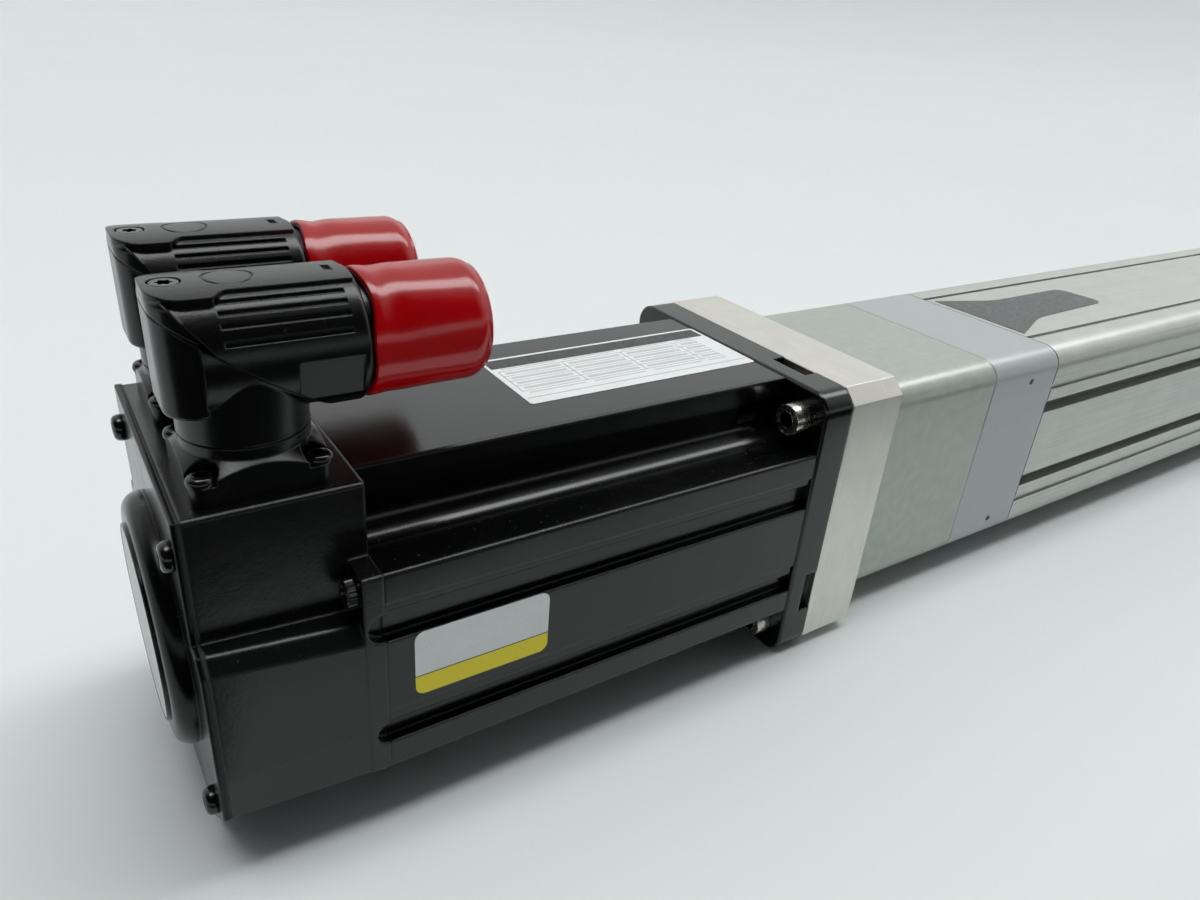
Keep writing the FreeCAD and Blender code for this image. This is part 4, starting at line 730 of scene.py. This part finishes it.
# %% [markdown]
# ## The threaded rod end
# The rod ends in flats for a spanner and a stud with a fine thread. The flats are right in CAD, so
# we copy that mesh, cut the plain stud off and spin a thread in its place: one tooth, turned many
# times while it creeps forward by one pitch a turn, so that each turn meets the next. Points near
# the tip are pulled in to a chamfer.

# %% Rod end
STUD_R, PITCH, THREAD_DEEP, TIP_R = 10.0, 1.5, 0.85, 8.6
STUD_START, STUD_END = 34.0, 74.0
CREST = (0.42, 0.58)
TURN_STEPS = 36
THREAD_WELD = 1e-5


def cut_off(bm, x, way):
    """Cuts at x millimetres and drops what lies beyond it, forwards for 1 and backwards for -1."""
    bmesh.ops.bisect_plane(bm, geom=bm.verts[:] + bm.edges[:] + bm.faces[:], clear_outer=True,
                           plane_co=(x * MM, 0, 0), plane_no=(way, 0, 0))


def close_ends(bm):
    bmesh.ops.holes_fill(bm, edges=[e for e in bm.edges if e.is_boundary], sides=0)


def spun_thread():
    bm = bmesh.new()
    root = STUD_R - THREAD_DEEP
    tooth = [(0, root), (CREST[0] * PITCH, STUD_R), (CREST[1] * PITCH, STUD_R), (PITCH, root)]
    start = STUD_START - 2 * PITCH
    line = [bm.verts.new(((start + x) * MM, 0, r * MM)) for x, r in tooth]
    edges = [bm.edges.new(pair) for pair in zip(line, line[1:])]
    turns = math.ceil((STUD_END - STUD_START) / PITCH) + 3
    bmesh.ops.spin(bm, geom=line + edges, cent=(0, 0, 0), axis=(1, 0, 0), angle=math.tau * turns,
                   dvec=(PITCH * MM / TURN_STEPS, 0, 0), steps=TURN_STEPS * turns)
    bmesh.ops.remove_doubles(bm, verts=bm.verts, dist=THREAD_WELD)
    cut_off(bm, STUD_START - 0.5, -1)
    cut_off(bm, STUD_END, 1)
    close_ends(bm)
    for v in bm.verts:
        most = (TIP_R + STUD_END - v.co.x / MM) * MM
        if v.co.yz.length > most:
            v.co.yz *= most / v.co.yz.length
    return bm


thread = as_mesh(spun_thread(), "thread")
bm = bmesh.new()
bm.from_mesh(nodes["rod_end"].data)
bmesh.ops.remove_doubles(bm, verts=bm.verts, dist=WELD)
cut_off(bm, STUD_START + 0.05, 1)
close_ends(bm)
bm.from_mesh(thread)
bpy.data.meshes.remove(thread)
stud = keep(bm, "threaded_rod_end", "rod", "rod_steel", "rod_end")
print("thread faces", len(stud.data.polygons))

# %% [markdown]
# ## Plates and stickers
# The machine carries a rating plate on the motor, a two-tone sticker on its side, a dark name
# plate on the barrel and a pale disc in the rear cover. All four are plain foils, told apart by
# outline, colour and ruled lines. Each flat outline has its corners bevelled round and is lifted
# by the thickness of the foil.

# %% Foil kit
FOIL = 0.12
CORNER_SEGMENTS = 8


def oblong(us, vs):
    return [(us[0], vs[0]), (us[1], vs[0]), (us[1], vs[1]), (us[0], vs[1])]


def foil(corners, rounding, lift, sharp=()):
    """A flat outline in millimetres, as thick as lift; all but the sharp corners are rounded."""
    bm = bmesh.new()
    ring = [bm.verts.new(Vector(c) * MM) for c in corners]
    bm.faces.new(ring)
    bmesh.ops.bevel(bm, geom=[v for i, v in enumerate(ring) if i not in sharp],
                    offset=rounding * MM, offset_type="OFFSET", segments=CORNER_SEGMENTS,
                    profile=0.5, affect="VERTICES", material=-1)
    raised = bmesh.ops.extrude_face_region(bm, geom=bm.faces[:])["geom"]
    face = [g for g in raised if isinstance(g, bmesh.types.BMVert)]
    bmesh.ops.translate(bm, verts=face, vec=Vector(lift) * MM)
    return bm


print("foil", FOIL, "mm thick")

# %% [markdown]
# ## Print on the foils
# The print is made from the piece's own coordinates: a band holds between two of them, and ruled
# lines repeat at a pitch. Under it the paper has a faint cloud, over it a few scuffs.

# %% Print kit
FOIL_CLOUD, FOIL_DEEP = 0.01, 0.92
SCUFF_SIZE, SCUFF_MOST, SCUFF_COLOUR = 0.0005, 0.20, (0.25, 0.25, 0.24)
FOIL_GLOSS, FOIL_GRAIN, FOIL_EDGE = 0.002, 2e-6, 0.0001


def band(tree, value, low, high):
    return sums(tree, "COMPARE", value, (low + high) / 2 * MM, (high - low) / 2 * MM)


def ruled(tree, value, start, pitch, width):
    steps = sums(tree, "DIVIDE", sums(tree, "SUBTRACT", value, start * MM), pitch * MM)
    return sums(tree, "COMPARE", sums(tree, "FRACT", steps), 0.5, width / pitch / 2)


def printed(name, paper, rough, paint):
    """A satin foil; paint(tree, axes, shade) lays its bands over the paper's shade."""
    finish, tree, shader = new_finish(name)
    axes = wire(tree, "SeparateXYZ", {"Vector": place(tree)}).outputs
    cloud = spread(tree, grain(tree, FOIL_CLOUD, detail=3), *WIDE, 0, 1)
    scuff = spread(tree, grain(tree, SCUFF_SIZE, detail=4), 0.60, 0.70, 0, SCUFF_MOST)
    shade = paint(tree, axes, blend(tree, cloud, scaled(paper, FOIL_DEEP), paper))
    edge = soft_edge(tree, FOIL_EDGE)
    feed_all(tree, shader, {
        "Base Color": blend(tree, scuff, shade, SCUFF_COLOUR),
        "Roughness": spread(tree, grain(tree, FOIL_GLOSS), *WIDE, rough - 0.05, rough + 0.08),
        "Normal": relief(tree, grain(tree, SCUFF_SIZE), FOIL_GRAIN, edge),
    })
    return finish


print("print kit ready")

# %% [markdown]
# ## Rating plate
# A pale foil lies on top of the motor, with a dark header, ruled rows and grey fields. Each of
# them is a band or a repeat of the x and y coordinate, so the lines stay sharp at any distance.

# %% Rating plate
PLATE_X, PLATE_Y, PLATE_ROUND = (-654.0, -570.7), (-16.0, 18.0), 1.2
FRAME_X, ROW_X = (PLATE_X[0] + 1, PLATE_X[1] - 1), (PLATE_X[0] + 2, PLATE_X[1] - 6)
HEADER_Y, TABLE_Y, FOOT_LINE_Y = (10.4, 16.9), (-9.0, 10.0), (-12.2, -11.9)
ROW_PITCH, ROW_LINE = 3.8, 0.22
COLUMN_PITCH, COLUMN_LINE, COLUMN_START, COLUMN_Y = 22, 0.25, PLATE_X[0] - 9, (-7.3, 7.9)
FIELD_TALL, FIELD_LONG, FIELD_MOST, FIELD_X = 1.5, 19, 0.55, (-652.4, -577.0)
INK, LINE_GREY, FIELD_GREY = (0.012, 0.012, 0.013), (0.14, 0.145, 0.15), (0.30, 0.31, 0.31)
PALE_FOIL, PALE_ROUGH = (0.72, 0.75, 0.75), 0.36


def rating_print(tree, axes, shade):
    x, y = axes["X"], axes["Y"]
    table = band(tree, y, *TABLE_Y)
    header = times(tree, band(tree, y, *HEADER_Y), band(tree, x, *FRAME_X))
    foot = times(tree, band(tree, y, *FOOT_LINE_Y), band(tree, x, *FRAME_X))
    rows = times(tree, ruled(tree, y, TABLE_Y[0], ROW_PITCH, ROW_LINE), band(tree, x, *ROW_X))
    columns = times(tree, ruled(tree, x, COLUMN_START, COLUMN_PITCH, COLUMN_LINE),
                    band(tree, y, *COLUMN_Y))
    fields = times(tree, ruled(tree, y, TABLE_Y[0] + ROW_PITCH / 2, ROW_PITCH, FIELD_TALL),
                   ruled(tree, x, ROW_X[0], COLUMN_PITCH, FIELD_LONG), table,
                   band(tree, x, *FIELD_X), FIELD_MOST)
    lines = times(tree, sums(tree, "MAXIMUM", rows, columns), table)
    shade = blend(tree, fields, shade, FIELD_GREY)
    shade = blend(tree, sums(tree, "MAXIMUM", lines, foot), shade, LINE_GREY)
    return blend(tree, header, shade, INK)


motor_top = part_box("motor_housing")[1].z / MM
bm = foil([(x, y, motor_top) for x, y in oblong(PLATE_X, PLATE_Y)], PLATE_ROUND, (0, 0, FOIL))
rating = keep(bm, "rating_plate_blank", "housing",
              finish=printed("rating_print", PALE_FOIL, PALE_ROUGH, rating_print))
print("rating plate", [round(v / MM, 1) for v in rating.dimensions])

# %% [markdown]
# ## Side sticker
# The sticker on the near side has a pale field over a yellow one, parted by a thin dark line.
# Here the height z picks the colour.

# %% Side sticker
STICKER_X, STICKER_Z, STICKER_ROUND = (-702.9, -665.0), (-8.9, 10.6), 2.6
YELLOW_TOP, LINE_HALF = -2.9, 0.17
YELLOW, LINE_BLACK = (0.72, 0.60, 0.002), (0.02, 0.02, 0.02)
STICKER_FOIL, STICKER_ROUGH = (0.66, 0.68, 0.68), 0.40


def sticker_print(tree, axes, shade):
    z = axes["Z"]
    shade = blend(tree, band(tree, z, STICKER_Z[0] - 1, YELLOW_TOP), shade, YELLOW)
    line = band(tree, z, YELLOW_TOP - LINE_HALF, YELLOW_TOP + LINE_HALF)
    return blend(tree, line, shade, LINE_BLACK)


motor_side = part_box("motor_housing")[0].y / MM
corners = [(x, motor_side, z) for x, z in oblong(STICKER_X, STICKER_Z)]
sticker = keep(foil(corners, STICKER_ROUND, (0, -FOIL, 0)), "side_sticker_blank", "housing",
               finish=printed("sticker_print", STICKER_FOIL, STICKER_ROUGH, sticker_print))
print("sticker", [round(v / MM, 1) for v in sticker.dimensions])

# %% [markdown]
# ## Name plate and rear disc
# The dark plate on the barrel tapers from a wide end to a narrow one, so its outline has six
# corners. The disc in the rear cover is turned from a profile and tipped so that it faces
# backwards.

# %% Name plate and rear disc
NAME_PLATE = ((-427.0, -22.3), (-399.8, -11.4), (-344.0, -8.9), (-345.5, 12.9), (-397.5, 12.6),
              (-427.0, 22.3))
NAME_ROUND, NAME_FOIL, WIDE_END = 5.0, 0.15, (0, 5)
DISC_R, DISC_T, DISC_EDGE, DISC_SUNK, DISC_STEPS = 25.0, 0.22, 0.06, 0.3, 96
RUB_SIZE, RUB_MOST, RUB_COLOUR = 0.006, 0.12, (0.14, 0.14, 0.14)
DARK_FOIL, DARK_ROUGH = (0.030, 0.031, 0.033), 0.30
DISC_FOIL, DISC_ROUGH = (0.62, 0.63, 0.62), 0.38


def plain_print(tree, axes, shade):
    rub = spread(tree, grain(tree, RUB_SIZE, detail=3), 0.4, 0.7, 0, RUB_MOST)
    return blend(tree, rub, shade, RUB_COLOUR)


barrel_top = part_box("barrel")[1].z / MM
bm = foil([(x, y, barrel_top) for x, y in NAME_PLATE], NAME_ROUND, (0, 0, NAME_FOIL), WIDE_END)
name_plate = keep(bm, "name_plate_blank", "housing",
                  finish=printed("name_plate_print", DARK_FOIL, DARK_ROUGH, plain_print))
disc_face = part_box("rear_cover")[0].x / MM
bm = bmesh.new()
turned(bm, [(0, 0), (DISC_R, 0), (DISC_R, DISC_T - DISC_EDGE), (DISC_R - DISC_EDGE, DISC_T),
            (0, DISC_T)], DISC_STEPS)
backwards = Matrix.Rotation(-math.pi / 2, 4, "Y")
put = Matrix.Translation(((disc_face + DISC_SUNK) * MM, 0, 0)) @ backwards
bmesh.ops.transform(bm, matrix=put, verts=bm.verts)
rear_disc = keep(bm, "rear_disc_blank", "housing",
                 finish=printed("rear_disc_print", DISC_FOIL, DISC_ROUGH, plain_print))
print("plates", name_plate.name, rear_disc.name)

# %% [markdown]
# ## Floor
# The machine lies on a pale sheet. The sheet is turned from a profile that is flat near the
# machine and rises far away like the edge of a bowl, so the background is made of the same paper
# and no horizon line shows. A backdrop carries the bowl's rim on upwards for the camera alone;
# the light comes through it.

# %% Floor
BOWL = [(0, 0), (3000, 0), (3800, 25), (4600, 120), (5400, 320), (6200, 680), (6900, 1200)]
WALL = [(6700, 1030), (6900, 1200), (7400, 1750), (7800, 2500), (8000, 3500), (8100, 6000)]
BOWL_STEPS = 96
SHEET_DARK, SHEET_PALE = (0.690, 0.725, 0.725), (0.70, 0.735, 0.735)
SHEET_CLOUD, SHEET_GRAIN = 0.25, 0.004


def pale_sheet():
    finish, tree, shader = new_finish("pale_sheet")
    cloud = spread(tree, grain(tree, SHEET_CLOUD, detail=3), *WIDE, 0, 1)
    feed_all(tree, shader, {
        "Base Color": blend(tree, cloud, SHEET_DARK, SHEET_PALE),
        "Roughness": spread(tree, grain(tree, SHEET_GRAIN, detail=3), *WIDE, 0.5, 0.62),
        "Specular IOR Level": 0.1,
    })
    return finish


def set_stage(bm, name, finish):
    bmesh.ops.recalc_face_normals(bm, faces=bm.faces)
    obj = put_in_scene(name, as_mesh(bm, name))
    obj.data.materials.append(finish)
    return obj


def paper(name, profile):
    bm = bmesh.new()
    turned(bm, profile, BOWL_STEPS)
    bmesh.ops.translate(bm, verts=bm.verts, vec=(0, 0, cad_low.z))
    obj = set_stage(bm, name, sheet)
    obj.data.shade_smooth()
    return obj


sheet = pale_sheet()
paper("floor", BOWL)
backdrop = paper("backdrop", WALL)
backdrop.visible_diffuse = backdrop.visible_glossy = False
backdrop.visible_shadow = backdrop.visible_transmission = False
print("floor at", round(cad_low.z, 4))

# %% [markdown]
# ## Sky
# Polished metal and black paint look like what they mirror, so the sky is built like a room: a
# long bright lamp strip overhead, a pale wall on the far side and darkness behind the camera. The
# strip draws the bright lines along coves, caps and rounded edges; the dark side is what makes
# black read as black. Each fade below is a pair of numbers: where it begins and where it ends.

# %% Sky
FAR_SIDE = Vector((0.52, 0.85, 0.0)).normalized()
LAMP, FAR_LOW, FAR_HIGH, CEILING, NEAR, HORIZON = 5.4, 0.70, 1.05, 0.75, 0.015, 0.58
LAMP_X, LAMP_Y, LAMP_BLUR = (-0.4, 1.4), (-0.15, 0.13), 0.07
WALL_FADE, CEILING_FADE, SIDE_FADE = (0.15, 0.45), (0.48, 0.62), (-0.30, 0.15)
HORIZON_FADE, LAMP_FADE = (0.06, 0.14), (0.2, 0.4)
LEAST_HEIGHT = 0.05
SKY_TINT = (0.985, 1.0, 1.0)


def studio_sky():
    world = bpy.data.worlds.new("studio")
    bpy.context.scene.world = world
    world.use_nodes = True
    tree = world.node_tree
    way = wire(tree, "TexCoord").outputs["Generated"]
    axes = wire(tree, "SeparateXYZ", {"Vector": way}).outputs
    height = axes["Z"]
    ahead = wire(tree, "VectorMath", {0: way, 1: FAR_SIDE}, operation="DOT_PRODUCT")
    far = spread(tree, height, *WALL_FADE, FAR_LOW, FAR_HIGH)
    far = blend(tree, spread(tree, height, *CEILING_FADE, 0, 1), far, [CEILING] * 3)
    side = spread(tree, ahead.outputs["Value"], *SIDE_FADE, 0, 1)
    level = blend(tree, side, [NEAR] * 3, far)
    level = blend(tree, spread(tree, height, *HORIZON_FADE, 1, 0), level, [HORIZON] * 3)
    lit = spread(tree, height, *LAMP_FADE, 0, 1)
    for axis, (low, high) in (("X", LAMP_X), ("Y", LAMP_Y)):
        across = sums(tree, "DIVIDE", axes[axis], sums(tree, "MAXIMUM", height, LEAST_HEIGHT))
        lit = times(tree, lit, spread(tree, across, low - LAMP_BLUR, low, 0, 1),
                    spread(tree, across, high, high + LAMP_BLUR, 1, 0))
    level = blend(tree, lit, level, [LAMP] * 3)
    tinted = blend(tree, 1.0, level, SKY_TINT, mode="MULTIPLY")
    feed(tree, tree.nodes["Background"].inputs["Color"], tinted)


studio_sky()
print("sky towards", [round(v, 2) for v in FAR_SIDE])

# %% [markdown]
# ## Softbox
# One soft lamp above the motor adds a little direct light, so that the machine sits on a shadow
# with a clear core. The plain view transform keeps the pale sheet pale.

# %% Softbox
SOFTBOX_AT = Vector((-0.55, -0.02, 1.10))
SOFTBOX_SIZE, SOFTBOX_POWER = (1.0, 0.42), 1.4


def softbox():
    data = bpy.data.lights.new("softbox", "AREA")
    data.shape = "RECTANGLE"
    data.size, data.size_y = SOFTBOX_SIZE
    data.energy = SOFTBOX_POWER
    put_in_scene("softbox", data).location = SOFTBOX_AT


softbox()
bpy.context.scene.view_settings.view_transform = "Standard"
print("softbox", SOFTBOX_POWER, "W")

# %% [markdown]
# ## A flag for the mirrors
# Black gloss shows whatever stands around it. A photographer lays black cloth on the table in
# front of such a machine, outside the picture, so that its near side mirrors darkness and not
# white paper. Ours lies just over the floor; the camera doesn't see it and it throws no shadow,
# only mirrored rays find it.

# %% Flag
FLAG = ((1.4, -0.40), (-0.50, -0.30), (-0.60, -0.24), (-0.65, -0.15), (-0.74, -0.14),
        (-0.752, -0.075), (-2.6, -0.06), (-2.6, -2.2), (1.4, -2.2))
FLAG_LIFT = 0.001
CLOTH_GRAIN, CLOTH_DARK, CLOTH_PALE = 0.01, (0.010, 0.010, 0.010), (0.018, 0.018, 0.018)


def black_cloth():
    finish, tree, shader = new_finish("black_cloth")
    feed_all(tree, shader, {
        "Base Color": blend(tree, grain(tree, CLOTH_GRAIN), CLOTH_DARK, CLOTH_PALE),
        "Roughness": 0.9,
        "Specular IOR Level": 0.0,
    })
    return finish


bm = bmesh.new()
bm.faces.new([bm.verts.new((x, y, cad_low.z + FLAG_LIFT)) for x, y in FLAG])
bmesh.ops.triangulate(bm, faces=bm.faces)
flag = set_stage(bm, "flag", black_cloth())
flag.visible_camera = flag.visible_diffuse = False
flag.visible_shadow = flag.visible_transmission = False
print("flag", [round(v, 2) for v in flag.dimensions])
